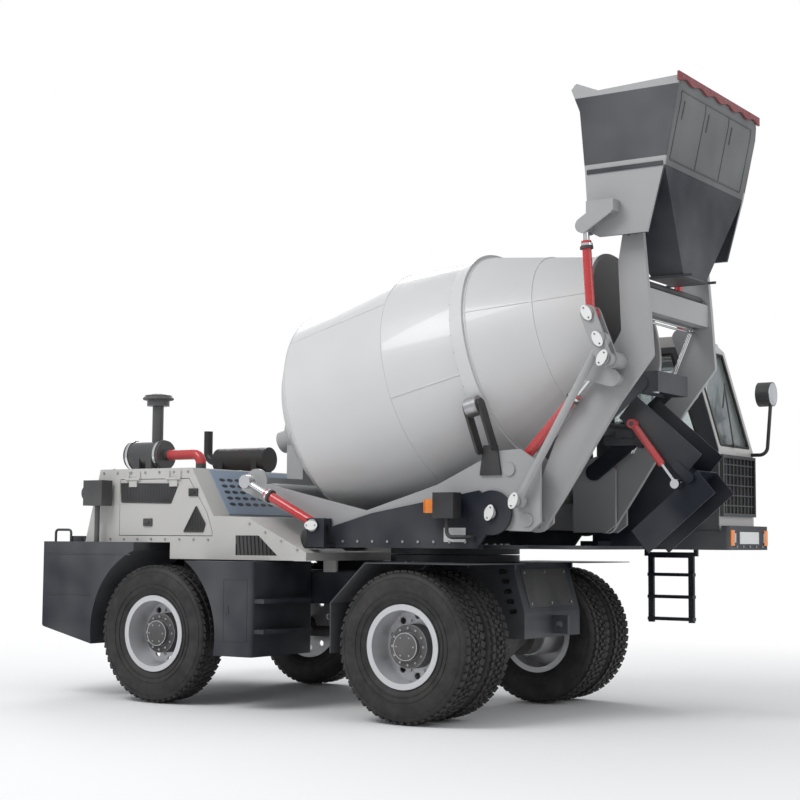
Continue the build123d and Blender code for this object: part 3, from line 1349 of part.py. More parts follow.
with BuildPart() as cranks:
    for side in (-1, 1):
        for first, second in ((crank_inner_y, crank_inner_y + crank_plate),
                              (crank_outer_y - crank_plate, crank_outer_y)):
            link(crank_pin, curl_low_pin, crank_width, *sorted((side * first, side * second)))
        inside = sorted((side * crank_inner_y, side * crank_outer_y))
        pin_y(crank_pin[0], crank_pin[1], *inside, crank_boss_radius - cap_thick)
        pin_y(level_high_pin[0], level_high_pin[1], *inside, pin_radius)
        pin_y(curl_low_pin[0], curl_low_pin[1], *inside, pin_radius)
        pin_y(crank_pin[0], crank_pin[1], inside[0] - overrun, inside[1] + overrun, pin_radius + pin_fit,
              Mode.SUBTRACT)
finish(cranks, "cranks")

# Levelling rods, from the frame's ears to the cranks
level_radius = 27.0

with BuildPart() as level_rods:
    for mid_y in (-link_y, link_y):
        rod((level_low_pin[0], mid_y, level_low_pin[1]), (level_high_pin[0], mid_y, level_high_pin[1]),
            level_radius)
        for end_x, end_z in (level_low_pin, level_high_pin):
            pin_y(end_x, end_z, mid_y - link_half, mid_y + link_half, eye_radius)
            pin_y(end_x, end_z, mid_y - overrun, mid_y + overrun, pin_radius + pin_fit, Mode.SUBTRACT)
finish(level_rods, "level_rods")

# Bucket cylinders, from the cranks to the bucket's lugs
curl_radius = 36.0
curl_barrel_length = 500.0
curl_rod_length = 520.0

with BuildPart() as curl_barrels:
    for mid_y in (-link_y, link_y):
        cylinder_barrel(curl_low_pin, curl_high_pin, curl_barrel_length, mid_y, curl_radius)
finish(curl_barrels, "curl_barrels")

with BuildPart() as curl_rods:
    for mid_y in (-link_y, link_y):
        cylinder_rod(curl_low_pin, curl_high_pin, curl_rod_length, mid_y, curl_radius)
finish(curl_rods, "curl_rods")

# Bucket: side plates, rear and front walls, and the funnel down to the gate
bucket_half_width = 700.0
bucket_side = 25.0
bucket_sheet = 12.0
bucket_top_z = 4330.0
bucket_foot_z = 3300.0
bucket_fold_z = 3740.0
bucket_rear_x = 1125.0
bucket_front_x = 1705.0
bucket_tip_x = 1815.0
lip_x = 1020.0
lip_z = 4380.0
funnel_low_z = 3080.0
funnel_half_width = 200.0
funnel_rear_x = 1380.0
funnel_front_x = 1620.0
lug_box_low_z = 3450.0
lug_box_high_z = 3530.0
lug_box_rear_x = 1180.0
lug_box_front_x = 1380.0
bucket_inner = bucket_half_width - bucket_side
bucket_side_outline = [
    (lip_x, lip_z - overrun), (lip_x + overrun, lip_z),
    (bucket_rear_x + bucket_side * 4, bucket_top_z - overrun / 2),
    (bucket_tip_x, bucket_top_z), (bucket_tip_x - bucket_sheet, bucket_top_z - bucket_side * 6),
    (bucket_front_x, bucket_fold_z), (bucket_front_x - bucket_side * 5, bucket_foot_z),
    (bucket_rear_x + bucket_side * 4, bucket_foot_z), (bucket_rear_x + bucket_side, bucket_foot_z + overrun),
    (bucket_rear_x, bucket_fold_z), (bucket_rear_x - overrun, bucket_top_z - bucket_side * 6),
]


def funnel(inset, low_z, high_z, mode):
    """Loft the funnel between its top and its gate, drawn in by a wall."""
    with BuildSketch(Plane.XY.offset(high_z)) as top:
        with Locations(((bucket_rear_x + bucket_front_x) / 2, 0)):
            Rectangle(bucket_front_x - bucket_rear_x - inset * 2, (bucket_inner + sheet - inset) * 2)
    with BuildSketch(Plane.XY.offset(low_z)) as foot:
        with Locations(((funnel_rear_x + funnel_front_x) / 2, 0)):
            Rectangle(funnel_front_x - funnel_rear_x - inset * 2, (funnel_half_width - inset) * 2)
    loft([top.sketch.face(), foot.sketch.face()], mode=mode)


with BuildPart() as bucket:
    for low_y, high_y in both_sides(bucket_inner, bucket_half_width):
        slab(bucket_side_outline, low_y, high_y)
    slab([(lip_x, lip_z - overrun), (lip_x + bucket_sheet, lip_z),
           (bucket_rear_x - overrun + bucket_sheet * 2, bucket_top_z - bucket_side * 6),
          (bucket_rear_x + bucket_sheet, bucket_fold_z), (bucket_rear_x, bucket_fold_z),
          (bucket_rear_x - overrun, bucket_top_z - bucket_side * 6)], -bucket_inner, bucket_inner)
    slab([(bucket_tip_x, bucket_top_z), (bucket_tip_x - bucket_sheet, bucket_top_z - bucket_side * 6),
          (bucket_front_x, bucket_fold_z), (bucket_front_x - bucket_sheet, bucket_fold_z),
          (bucket_tip_x - bucket_sheet * 2, bucket_top_z - bucket_side * 6),
          (bucket_tip_x - bucket_sheet, bucket_top_z)],
         -bucket_inner, bucket_inner)
    funnel(0, funnel_low_z, bucket_fold_z + sheet, Mode.ADD)
    funnel(bucket_sheet, funnel_low_z, bucket_fold_z + sheet, Mode.SUBTRACT)
    for low_y, high_y in both_sides(arm_inner_y - bucket_sheet, bucket_inner):
        pin_y(bucket_pin[0], bucket_pin[1], low_y, high_y, pin_radius)
    for low_y, high_y in both_sides(bucket_half_width, crank_outer_y):
        block((lug_box_rear_x, lug_box_front_x), (low_y, high_y), (lug_box_low_z, lug_box_high_z))
    lug_root = (lug_box_front_x - eye_radius, lug_box_high_z - eye_radius)
    for low_y, high_y in both_sides(crank_outer_y - crank_plate, crank_outer_y):
        link(curl_high_pin, lug_root, eye_radius * 2, low_y, high_y)
    for low_y, high_y in both_sides(bucket_inner, bucket_half_width + sheet):
        link(curl_high_pin, lug_root, eye_radius * 2, low_y, high_y)
finish(bucket, "bucket")

# Cutting edge: the scalloped blade on the front wall's lip
edge_thick = 20.0
edge_low_z = 4290.0
edge_high_z = 4350.0
edge_scallops = 6
scallop_radius = 160.0
scallop_depth = 26.0
edge_half_width = 720.0

with BuildPart() as bucket_edge:
    block((bucket_tip_x, bucket_tip_x + edge_thick), (-edge_half_width, edge_half_width),
          (edge_low_z, edge_high_z))
    edge_pitch = edge_half_width * 2 / edge_scallops
    for step in range(edge_scallops):
        scallop_y = -edge_half_width + edge_pitch * (step + half_step)
        rod((bucket_tip_x - overrun, scallop_y, edge_high_z + scallop_radius - scallop_depth),
            (bucket_tip_x + overrun, scallop_y, edge_high_z + scallop_radius - scallop_depth),
            scallop_radius, Mode.SUBTRACT)
finish(bucket_edge, "bucket_edge")

# Gate: the plate that slides under the funnel, and its cylinder in front
gate_thick = 14.0
gate_margin = 14.0

with BuildPart() as bucket_gate:
    block((funnel_rear_x - gate_margin, funnel_front_x + gate_margin),
          (-funnel_half_width - gate_margin, funnel_half_width + gate_margin),
          (funnel_low_z - gate_thick - running_gap, funnel_low_z - running_gap))
finish(bucket_gate, "bucket_gate")

# Chute hopper: the collector below the drum's mouth, on posts from the frame's ears
hopper_rear_x = 1270.0
hopper_front_x = 1450.0
hopper_half_width = 250.0
hopper_low_z = 2275.0
hopper_high_z = 2420.0
hopper_wall = 8.0
hopper_rear_high_z = 2300.0
post_inner_y = 445.0
post_foot = (600.0, 1760.0)
post_head = (980.0, 2040.0)
post_width = 120.0
post_tube_radius = 48.0
hopper_arm_head = (1330.0, 2340.0)
hopper_arm_width = 90.0
swing_x = 1200.0
swing_pin_radius = 26.0
swing_block_width = 90.0
swing_low_z = 1930.0
swing_high_z = 1970.0

with BuildPart() as chute_hopper:
    block((hopper_rear_x, hopper_front_x), (-hopper_half_width, hopper_half_width),
          (hopper_low_z, hopper_high_z))
    block((hopper_rear_x + hopper_wall, hopper_front_x - hopper_wall),
          (hopper_wall - hopper_half_width, hopper_half_width - hopper_wall),
          (hopper_low_z - overrun, hopper_high_z + overrun), Mode.SUBTRACT)
    block((hopper_rear_x - overrun, hopper_rear_x + hopper_wall),
          (hopper_wall - hopper_half_width, hopper_half_width - hopper_wall),
          (hopper_rear_high_z, hopper_high_z + overrun), Mode.SUBTRACT)
    for low_y, high_y in both_sides(post_inner_y, ear_inner_y):
        link(post_foot, post_head, post_width, low_y, high_y)
    pin_y(post_head[0], post_head[1], -ear_inner_y, ear_inner_y, post_tube_radius)
    for low_y, high_y in both_sides(hopper_half_width, hopper_half_width + cap_thick):
        link(post_head, hopper_arm_head, hopper_arm_width, low_y, high_y)
    block((post_head[0] - post_tube_radius, swing_x + swing_block_width / 2),
          (-swing_block_width / 2, swing_block_width / 2), (swing_low_z, swing_high_z))
    block((post_head[0] - post_tube_radius, post_head[0] + post_tube_radius),
          (-swing_block_width / 2, swing_block_width / 2), (swing_low_z, post_head[1]))
    rod((swing_x, 0, swing_low_z - overrun), (swing_x, 0, swing_high_z + overrun),
        swing_pin_radius + pin_fit, Mode.SUBTRACT)
finish(chute_hopper, "chute_hopper")

# Chute: a trough that swings on its pin under the hopper, and its folding extension
chute_half_width = 190.0
chute_wall = 8.0
chute_depth = 200.0
chute_length = 640.0
chute_angle = 41.0
chute_start = (1255.0, 2260.0)
extension_start = (1824.0, 1580.0)
extension_length = 640.0
extension_angle = 140.0
extension_half_width = 170.0
extension_hinge = (1650.0, 1682.0)
chute_ear_thick = 10.0
chute_ear_width = 64.0
chute_pin_radius = 12.0
chute_ram_y = -232.0
chute_ram_radius = 30.0
chute_ram_low = (1250.0, 2060.0)
chute_ram_high = (1570.0, 1640.0)
chute_barrel_length = 360.0
chute_rod_length = 330.0


def trough(start, angle, length, depth, half_width):
    """Make an open trough that runs from a point at an angle below +X."""
    run = Vector(cos(radians(angle)), 0, -sin(radians(angle)))
    with BuildSketch(Plane(origin=(start[0], 0, start[1]), x_dir=(0, 1, 0), z_dir=run)) as section:
        with Locations((0, -depth / 2)):
            Rectangle(half_width * 2, depth)
        with Locations((0, -(depth - chute_wall) / 2)):
            Rectangle(half_width * 2 - chute_wall * 2, depth - chute_wall, mode=Mode.SUBTRACT)
    extrude(section.sketch, amount=length)


with BuildPart() as chute:
    trough(chute_start, chute_angle, chute_length, chute_depth, chute_half_width)
    floor_start = Vector(chute_start[0] - chute_depth * sin(radians(chute_angle)), 0,
                         chute_start[1] - chute_depth * cos(radians(chute_angle)))
    floor_z_at_pin = floor_start.Z - (swing_x - floor_start.X) * (
        sin(radians(chute_angle)) / cos(radians(chute_angle)))
    rod((swing_x, 0, swing_low_z - plate), (swing_x, 0, floor_z_at_pin + chute_wall), swing_pin_radius)
    rod((swing_x, 0, swing_high_z), (swing_x, 0, floor_z_at_pin + chute_wall / 2), swing_pin_radius * 2)
    floor_end = floor_start + Vector(cos(radians(chute_angle)), 0, -sin(radians(chute_angle))) * (
        chute_length - chute_ear_width)
    for low_y, high_y in both_sides(chute_half_width, chute_half_width + chute_ear_thick):
        link((floor_end.X, floor_end.Z + chute_ear_width / 2), extension_hinge, chute_ear_width,
             low_y, high_y)
    for low_y, high_y in both_sides(extension_half_width - chute_wall, chute_half_width + chute_ear_thick):
        pin_y(extension_hinge[0], extension_hinge[1], low_y, high_y, chute_pin_radius)
    pin_y(chute_ram_low[0], chute_ram_low[1], chute_ram_y - chute_ram_radius,
          chute_wall / 2 - chute_half_width, pin_radius / 2)
finish(chute, "chute")

with BuildPart() as chute_extension:
    trough(extension_start, extension_angle, extension_length, chute_depth, extension_half_width)
    for low_y, high_y in both_sides(extension_half_width - chute_wall, extension_half_width):
        pin_y(extension_hinge[0], extension_hinge[1], low_y, high_y, chute_ear_width / 2)
        pin_y(extension_hinge[0], extension_hinge[1], low_y - overrun, high_y + overrun,
              chute_pin_radius + pin_fit, Mode.SUBTRACT)
    pin_y(chute_ram_high[0], chute_ram_high[1], chute_ram_y + chute_ram_radius - eye_gap / 2,
          -extension_half_width + chute_wall, chute_ear_width / 2)
finish(chute_extension, "chute_extension")


def small_barrel():
    """Make the chute cylinder's barrel, with its foot eye on the trough's side."""
    run = Vector(chute_ram_high[0] - chute_ram_low[0], 0, chute_ram_high[1] - chute_ram_low[1]).normalized()
    base = Vector(chute_ram_low[0], chute_ram_y, chute_ram_low[1])
    pin_y(chute_ram_low[0], chute_ram_low[1], chute_ram_y - chute_ram_radius, chute_ram_y + chute_ram_radius,
          chute_ear_width / 2)
    rod(base + run * (pin_radius / 2 + eye_gap), base + run * chute_barrel_length, chute_ram_radius - eye_gap)
    rod(base + run * (pin_radius + chute_ram_radius), base + run * (chute_barrel_length + overrun),
        rod_radius / 2 + pin_fit, Mode.SUBTRACT)
    pin_y(chute_ram_low[0], chute_ram_low[1], chute_ram_y - overrun, chute_ram_y + overrun,
          pin_radius / 2 + pin_fit, Mode.SUBTRACT)


with BuildPart() as chute_barrel:
    small_barrel()
finish(chute_barrel, "chute_barrel")

with BuildPart() as chute_rod:
    run = Vector(chute_ram_low[0] - chute_ram_high[0], 0, chute_ram_low[1] - chute_ram_high[1]).normalized()
    head = Vector(chute_ram_high[0], chute_ram_y, chute_ram_high[1])
    pin_y(chute_ram_high[0], chute_ram_high[1], chute_ram_y - chute_ram_radius,
          chute_ram_y + chute_ram_radius - eye_gap, chute_ear_width / 2)
    rod(head, head + run * chute_rod_length, rod_radius / 2)
finish(chute_rod, "chute_rod")

# Work lamp: a black box with its lens at the back, on a bent pipe from the turret's right plate
work_box_rear_x = 20.0
work_box_front_x = 190.0
work_box_low_z = 1400.0
work_box_high_z = 1580.0
work_box_inner_y = -770.0
work_box_outer_y = -880.0
work_lens_x = -60.0
work_lens_low_z = 1440.0
work_lens_high_z = 1530.0
work_pipe_radius = 14.0
work_pipe_bend = 45.0
work_foot_x = 270.0
work_foot_z = 1270.0

with BuildPart() as work_lamp:
    block((work_box_rear_x, work_box_front_x), (work_box_outer_y, work_box_inner_y),
          (work_box_low_z, work_box_high_z))
    block((work_lens_x, work_box_rear_x), (work_box_outer_y + plate, work_box_inner_y - plate),
          (work_lens_low_z, work_lens_high_z))
    work_mid_x = (work_box_rear_x + work_box_front_x) / 2
    work_mid_y = (work_box_inner_y + work_box_outer_y) / 2
    pipe([(work_mid_x, work_mid_y, work_box_low_z), (work_mid_x, work_mid_y, work_foot_z),
          (work_foot_x, work_mid_y, work_foot_z), (work_foot_x, -turret_outer_y, work_foot_z)],
         work_pipe_bend, work_pipe_radius)
finish(work_lamp, "work_lamp")

# The origin lies on the ground, under the middle of the machine's length and width
middle_x = (tank_rear_x + bucket_tip_x + edge_thick) / 2
middle_y = (mirror_head_y + mirror_radius - front_outer_track - tyre_width / 2) / 2

os.makedirs("parts", exist_ok=True)
for piece in finished:
    placed = piece.moved(Location((-middle_x, -middle_y, 0)))
    placed.label = piece.label
    export_step(placed, f"parts/{piece.label}.step")
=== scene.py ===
import json
from math import cos, pi, radians, sin, tau

import bmesh
import bpy
from mathutils import Matrix, Vector


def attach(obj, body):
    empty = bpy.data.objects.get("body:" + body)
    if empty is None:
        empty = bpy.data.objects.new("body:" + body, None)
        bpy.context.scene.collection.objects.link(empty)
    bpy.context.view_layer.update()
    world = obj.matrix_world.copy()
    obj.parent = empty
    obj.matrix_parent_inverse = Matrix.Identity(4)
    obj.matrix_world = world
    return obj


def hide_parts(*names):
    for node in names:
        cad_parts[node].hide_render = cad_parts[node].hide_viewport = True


bl_info = {
    "name": "Self-loading concrete mixer",
    "version": (1, 0, 0),
    "blender": (4, 5, 0),
    "location": "3D View > Sidebar > Mixer",
    "description": "Dresses the mixer's frame with treads, fasteners, lamps, trim and finishes",
    "category": "Object",
}

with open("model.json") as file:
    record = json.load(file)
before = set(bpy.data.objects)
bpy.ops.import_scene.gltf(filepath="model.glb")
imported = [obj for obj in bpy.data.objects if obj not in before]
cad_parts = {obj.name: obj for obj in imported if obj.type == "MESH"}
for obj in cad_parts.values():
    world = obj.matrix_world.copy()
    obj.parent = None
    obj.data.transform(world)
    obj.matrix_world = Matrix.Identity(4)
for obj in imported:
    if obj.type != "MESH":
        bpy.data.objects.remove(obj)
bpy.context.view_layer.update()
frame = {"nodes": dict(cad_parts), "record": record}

# The frame's origin lies under the middle of the machine; places below are taken from the front axle
FRONT_AXLE = Vector((0.9275, -0.2435, 0.0))
AXLE_HEIGHT = 0.525
WHEELBASE = 2.345
SIDES = (("right", -1), ("left", 1))

# Faces and lines that pieces of trim lie on, from the front axle and the ground
SLEW_X = -0.33
HOOD_FACE = 0.950
HOOD_TOP = 1.790
FILTER_AXIS = (-0.450, 1.925)
BUMPER_FACE = 1.509
BUCKET_FACE = 0.700
EDGE_FACE = 1.8305


def at(x, y, z):
    """Turn a place measured from the front axle into a place in the frame."""
    return FRONT_AXLE + Vector((x, y, z))


# ---------------------------------------------------------------- sizes and colours
def length_property(name, description, default, top):
    """Make a length setting."""
    return bpy.props.FloatProperty(name=name, description=description, default=default, min=0.0, max=top,
                                   unit="LENGTH", subtype="DISTANCE", precision=4)


def colour_property(name, description, default):
    """Make a colour setting."""
    return bpy.props.FloatVectorProperty(name=name, description=description, default=default, size=3,
                                         min=0.0, max=1.0, subtype="COLOR")


class MixerSizes(bpy.types.PropertyGroup):
    """Sizes of the trim on the mixer."""

    bolt_radius: length_property("Bolt radius", "Half width of a hexagon bolt head", 0.012, 0.05)
    bolt_height: length_property("Bolt height", "How far a bolt head stands out", 0.009, 0.03)
    lug_length: length_property("Tread lug length", "Length of a tread lug across the tyre", 0.074, 0.15)
    lug_width: length_property("Tread lug width", "Width of a tread lug round the tyre", 0.043, 0.08)
    lug_height: length_property("Tread lug height", "Height of a tread lug over the casing", 0.016, 0.03)
    slat_pitch: length_property("Vent pitch", "Distance between the bars of a door vent", 0.016, 0.05)
    seal_width: length_property("Window seal width", "Width of the rubber round a window", 0.022, 0.05)
    pipe_radius: length_property("Oil pipe radius", "Half width of the steel oil pipes", 0.008, 0.02)
    lug_count: bpy.props.IntProperty(name="Tread lugs", description="Lugs in one row round a tyre",
                                     default=56, min=8, max=80)


class MixerColours(bpy.types.PropertyGroup):
    """Colours of the mixer's finishes."""

    drum: colour_property("Drum", "Paint of the drum", (0.60, 0.60, 0.60))
    hood: colour_property("Hood and cab", "Paint of the hood, doors and cab", (0.50, 0.49, 0.47))
    arms: colour_property("Arms and frames", "Paint of the arms, bucket and drum frame", (0.34, 0.345, 0.35))
    structure: colour_property("Chassis", "Paint of the chassis, tank and turret", (0.014, 0.017, 0.026))
    cylinders: colour_property("Cylinders", "Paint of the hydraulic cylinders", (0.50, 0.006, 0.010))
    edge: colour_property("Cutting edge", "Paint of the bucket's edge", (0.20, 0.008, 0.014))
    rims: colour_property("Rims", "Paint of the rims", (0.60, 0.60, 0.62))
    rubber: colour_property("Rubber", "Tyres and seals", (0.012, 0.012, 0.013))
    dust: colour_property("Dust", "Dust that settles on the lower parts", (0.34, 0.30, 0.25))
    amber: colour_property("Amber lenses", "Turn lamps and marker lamps", (0.95, 0.26, 0.02))
    red_lens: colour_property("Red lenses", "Rear lamps and reflectors", (0.6, 0.01, 0.01))


# ---------------------------------------------------------------- node helpers
def settle(node, **values):
    """Set a node's inputs by name, and give the node back."""
    for label, value in values.items():
        node.inputs[label.replace("_", " ")].default_value = value
    return node


def join(tree, *steps):
    """Join an output of one node to an input of another, for each step."""
    for source, output, target, entry in steps:
        tree.links.new(source.outputs[output], target.inputs[entry])


def new_material(name):
    """Make a material, and give it with its tree and its Principled shader."""
    material = bpy.data.materials.new(name)
    material.use_nodes = True
    return material, material.node_tree, material.node_tree.nodes["Principled BSDF"]


# ---------------------------------------------------------------- shader groups
COLOUR, NUMBER, PLACE = "NodeSocketColor", "NodeSocketFloat", "NodeSocketVector"
FINISH_OUTPUTS = (("Color", COLOUR), ("Roughness", NUMBER), ("Height", NUMBER))
PALE_DUST = (0.3, 0.27, 0.23, 1)


def new_group(name, inputs, outputs=FINISH_OUTPUTS):
    """Start a shader group with named sockets."""
    group = bpy.data.node_groups.new(name, "ShaderNodeTree")
    for label, kind, value in inputs:
        socket = group.interface.new_socket(name=label, in_out="INPUT", socket_type=kind)
        socket.default_value = value
    for label, kind in outputs:
        group.interface.new_socket(name=label, in_out="OUTPUT", socket_type=kind)
    return group, group.nodes.new("NodeGroupInput"), group.nodes.new("NodeGroupOutput")


def object_place(group):
    """Give the Object coordinates."""
    return group.nodes.new("ShaderNodeTexCoord").outputs["Object"]


def stretched(group, place, scale):
    """Scale the coordinates by another amount along each axis."""
    stretch = settle(group.nodes.new("ShaderNodeMapping"), Scale=scale)
    group.links.new(place, stretch.inputs["Vector"])
    return stretch.outputs["Vector"]


def feed(group, socket, value):
    """Join a node's output to a socket, or set the socket to a plain value."""
    if hasattr(value, "is_output"):
        group.links.new(value, socket)
    else:
        socket.default_value = value


def noise(group, coordinates, scale, detail, roughness=0.55):
    """Give a noise pattern between 0 and 1."""
    node = settle(group.nodes.new("ShaderNodeTexNoise"), Detail=detail, Roughness=roughness)
    group.links.new(coordinates, node.inputs["Vector"])
    feed(group, node.inputs["Scale"], scale)
    return node.outputs["Fac"]


def ramp(group, value, low, high, to_low=0.0, to_high=1.0):
    """Map a value from one range to another."""
    node = settle(group.nodes.new("ShaderNodeMapRange"), From_Min=low, From_Max=high, To_Min=to_low,
                  To_Max=to_high)
    group.links.new(value, node.inputs["Value"])
    return node.outputs["Result"]


def combine(group, operation, first, second):
    """Combine two values by a math operation."""
    node = group.nodes.new("ShaderNodeMath")
    node.operation = operation
    feed(group, node.inputs[0], first)
    feed(group, node.inputs[1], second)
    return node.outputs["Value"]


def times(group, first, second):
    """Multiply two values."""
    return combine(group, "MULTIPLY", first, second)


def mix_colour(group, factor, first, second):
    """Mix two colours by a factor."""
    node = group.nodes.new("ShaderNodeMix")
    node.data_type = "RGBA"
    for name, value in (("Factor", factor), ("A", first), ("B", second)):
        feed(group, next(s for s in node.inputs if s.name == name and s.enabled), value)
    return next(s for s in node.outputs if s.name == "Result" and s.enabled)


def worn_paint_group():
    """Paint with faint orange peel, mottled dust that thickens towards the ground, and run-down streaks."""
    group, given, result = new_group("Worn paint", [
        ("Paint", COLOUR, (0.5, 0.5, 0.5, 1)), ("Dust", COLOUR, PALE_DUST), ("Dust Amount", NUMBER, 0.4),
        ("Gloss", NUMBER, 0.35), ("Mottle Scale", NUMBER, 3.0)])
    place = object_place(group)
    split = group.nodes.new("ShaderNodeSeparateXYZ")
    group.links.new(place, split.inputs["Vector"])
    low = ramp(group, split.outputs["Z"], 1.7, 0.1, 0.12, 1.0)
    mottle = ramp(group, noise(group, place, given.outputs["Mottle Scale"], 8.0), 0.42, 0.72)
    streak = ramp(group, noise(group, stretched(group, place, (1.0, 1.0, 0.08)), 22.0, 4.0), 0.52, 0.75)
    dirt = combine(group, "MAXIMUM", mottle, times(group, streak, 0.55))
    dirt = times(group, times(group, dirt, low), given.outputs["Dust Amount"])
    fade = ramp(group, noise(group, place, 0.9, 3.0), 0.35, 0.65, 0.0, 0.10)
    faded = mix_colour(group, fade, given.outputs["Paint"], (0.9, 0.9, 0.88, 1))
    group.links.new(mix_colour(group, dirt, faded, given.outputs["Dust"]), result.inputs["Color"])
    rough = combine(group, "ADD", given.outputs["Gloss"], times(group, dirt, 0.5))
    rough = combine(group, "ADD", rough, ramp(group, noise(group, place, 40.0, 3.0), 0.3, 0.7, 0.0, 0.08))
    group.links.new(rough, result.inputs["Roughness"])
    peel = times(group, noise(group, place, 260.0, 2.0), 0.35)
    group.links.new(combine(group, "ADD", peel, times(group, dirt, 0.4)), result.inputs["Height"])
    return group


def brushed_group():
    """Bare steel with fine grain and darker handling marks."""
    group, given, result = new_group("Brushed steel", [
        ("Metal", COLOUR, (0.5, 0.5, 0.5, 1)), ("Stain", COLOUR, (0.2, 0.17, 0.15, 1)),
        ("Stain Amount", NUMBER, 0.3), ("Gloss", NUMBER, 0.25)])
    place = object_place(group)
    grain = noise(group, stretched(group, place, (12.0, 160.0, 160.0)), 3.0, 4.0)
    stain = times(group, ramp(group, noise(group, place, 7.0, 6.0), 0.45, 0.7), given.outputs["Stain Amount"])
    group.links.new(mix_colour(group, stain, given.outputs["Metal"], given.outputs["Stain"]),
                    result.inputs["Color"])
    group.links.new(combine(group, "ADD", given.outputs["Gloss"], times(group, stain, 0.5)),
                    result.inputs["Roughness"])
    group.links.new(times(group, grain, 0.3), result.inputs["Height"])
    return group


def rubber_group():
    """Rubber with a fine pebble, browned and dusted in patches."""
    group, given, result = new_group("Dusty rubber", [
        ("Rubber", COLOUR, (0.02, 0.02, 0.02, 1)), ("Dust", COLOUR, PALE_DUST), ("Dust Amount", NUMBER, 0.3)])
    place = object_place(group)
    dirt = times(group, ramp(group, noise(group, place, 9.0, 8.0, 0.65), 0.4, 0.75),
                 given.outputs["Dust Amount"])
    group.links.new(mix_colour(group, dirt, given.outputs["Rubber"], given.outputs["Dust"]),
                    result.inputs["Color"])
    group.links.new(combine(group, "ADD", 0.62, times(group, dirt, 0.35)), result.inputs["Roughness"])
    group.links.new(noise(group, place, 420.0, 3.0), result.inputs["Height"])
    return group


GROUPS = {}


def shared_group(name, make):
    """Make a shader group once, and give it from then on."""
    if name not in GROUPS:
        GROUPS[name] = make()
    return GROUPS[name]


def add_group(tree, make_group):
    """Add a shared shader group to a tree."""
    effect = tree.nodes.new("ShaderNodeGroup")
    effect.node_tree = shared_group(make_group.__name__, make_group)
    return effect


def add_relief(tree, principled, source, output, strength):
    """Let a height pattern bump the surface."""
    relief = settle(tree.nodes.new("ShaderNodeBump"), Strength=strength, Distance=0.002)
    join(tree, (source, output, relief, "Height"), (relief, "Normal", principled, "Normal"))


def finish_material(name, make_group, settings, bump=0.15, **shader):
    """Make a material whose Principled shader takes its colour, roughness and bump from a shared group."""
    material, tree, principled = new_material(name)
    effect = add_group(tree, make_group)
    for label, value in settings.items():
        effect.inputs[label].default_value = (*value, 1.0) if hasattr(value, "__len__") else value
    join(tree, (effect, "Color", principled, "Base Color"), (effect, "Roughness", principled, "Roughness"))
    add_relief(tree, principled, effect, "Height", bump)
    settle(principled, **shader)
    return material


def glass_material():
    """Tinted cab glass, with faint dust."""
    material, tree, principled = new_material("Cab glass")
    settle(principled, Transmission_Weight=0.85, Alpha=0.45, IOR=1.45, Roughness=0.04)
    effect = settle(add_group(tree, rubber_group), Rubber=(0.45, 0.55, 0.56, 1), Dust=(0.5, 0.5, 0.48, 1),
                    Dust_Amount=0.25)
    join(tree, (effect, "Color", principled, "Base Color"))
    return material


def lens_material(name, colour):
    """A coloured lamp lens with moulded ribs."""
    material, tree, principled = new_material(name)
    ribs = settle(tree.nodes.new("ShaderNodeTexWave"), Scale=60.0)
    tree.links.new(object_place(tree), ribs.inputs["Vector"])
    add_relief(tree, principled, ribs, "Fac", 0.3)
    shade = mix_colour(tree, ribs.outputs["Fac"], (*colour, 1), (*(part * 0.7 for part in colour), 1))
    tree.links.new(shade, principled.inputs["Base Color"])
    settle(principled, Roughness=0.15, Coat_Weight=0.6)
    return material


def zone_group():
    """One colour inside a box of Object coordinates, another colour outside it."""
    group, given, result = new_group("Paint zone", [
        ("Inside", COLOUR, (0.6, 0.6, 0.6, 1)), ("Outside", COLOUR, (0.1, 0.1, 0.1, 1)),
        ("Middle", PLACE, (0, 0, 0)), ("Half Size", PLACE, (1, 1, 1))], [("Color", COLOUR)])
    away, size = group.nodes.new("ShaderNodeVectorMath"), group.nodes.new("ShaderNodeVectorMath")
    away.operation, size.operation = "SUBTRACT", "ABSOLUTE"
    part, limit = group.nodes.new("ShaderNodeSeparateXYZ"), group.nodes.new("ShaderNodeSeparateXYZ")
    group.links.new(object_place(group), away.inputs[0])
    join(group, (given, "Middle", away, 1), (away, "Vector", size, 0), (size, "Vector", part, "Vector"),
         (given, "Half Size", limit, "Vector"))
    mask = 1.0
    for axis in "XYZ":
        within = combine(group, "LESS_THAN", part.outputs[axis], limit.outputs[axis])
        mask = times(group, within, mask)
    group.links.new(mix_colour(group, mask, given.outputs["Outside"], given.outputs["Inside"]),
                    result.inputs["Color"])
    return group


def zoned_material(name, inside, outside, low, high, dust, gloss=0.36, amount=0.1, **shader):
    """Worn paint of one colour inside a box between two places, and of another outside it."""
    settings = {"Dust": dust, "Dust Amount": amount, "Gloss": gloss, "Mottle Scale": 5.0}
    material = finish_material(name, worn_paint_group, settings, **shader)
    tree = material.node_tree
    paint = next(node for node in tree.nodes if node.bl_idname == "ShaderNodeGroup")
    zone = settle(add_group(tree, zone_group), Inside=(*inside, 1), Outside=(*outside, 1),
                  Middle=(at(*low) + at(*high)) / 2, Half_Size=(Vector(high) - Vector(low)) / 2)
    join(tree, (zone, "Color", paint, "Paint"))
    return material


MATERIALS = {}
REPAINTED = {"cab_shell": "cab_paint", "air_intake": "intake_paint", "hood_grilles": "grille_paint",
             "bucket_gate": "structure_navy", "chute": "structure_navy", "chute_extension": "structure_navy",
             "chute_hopper": "structure_navy", "roller_brackets": "grille_black"}


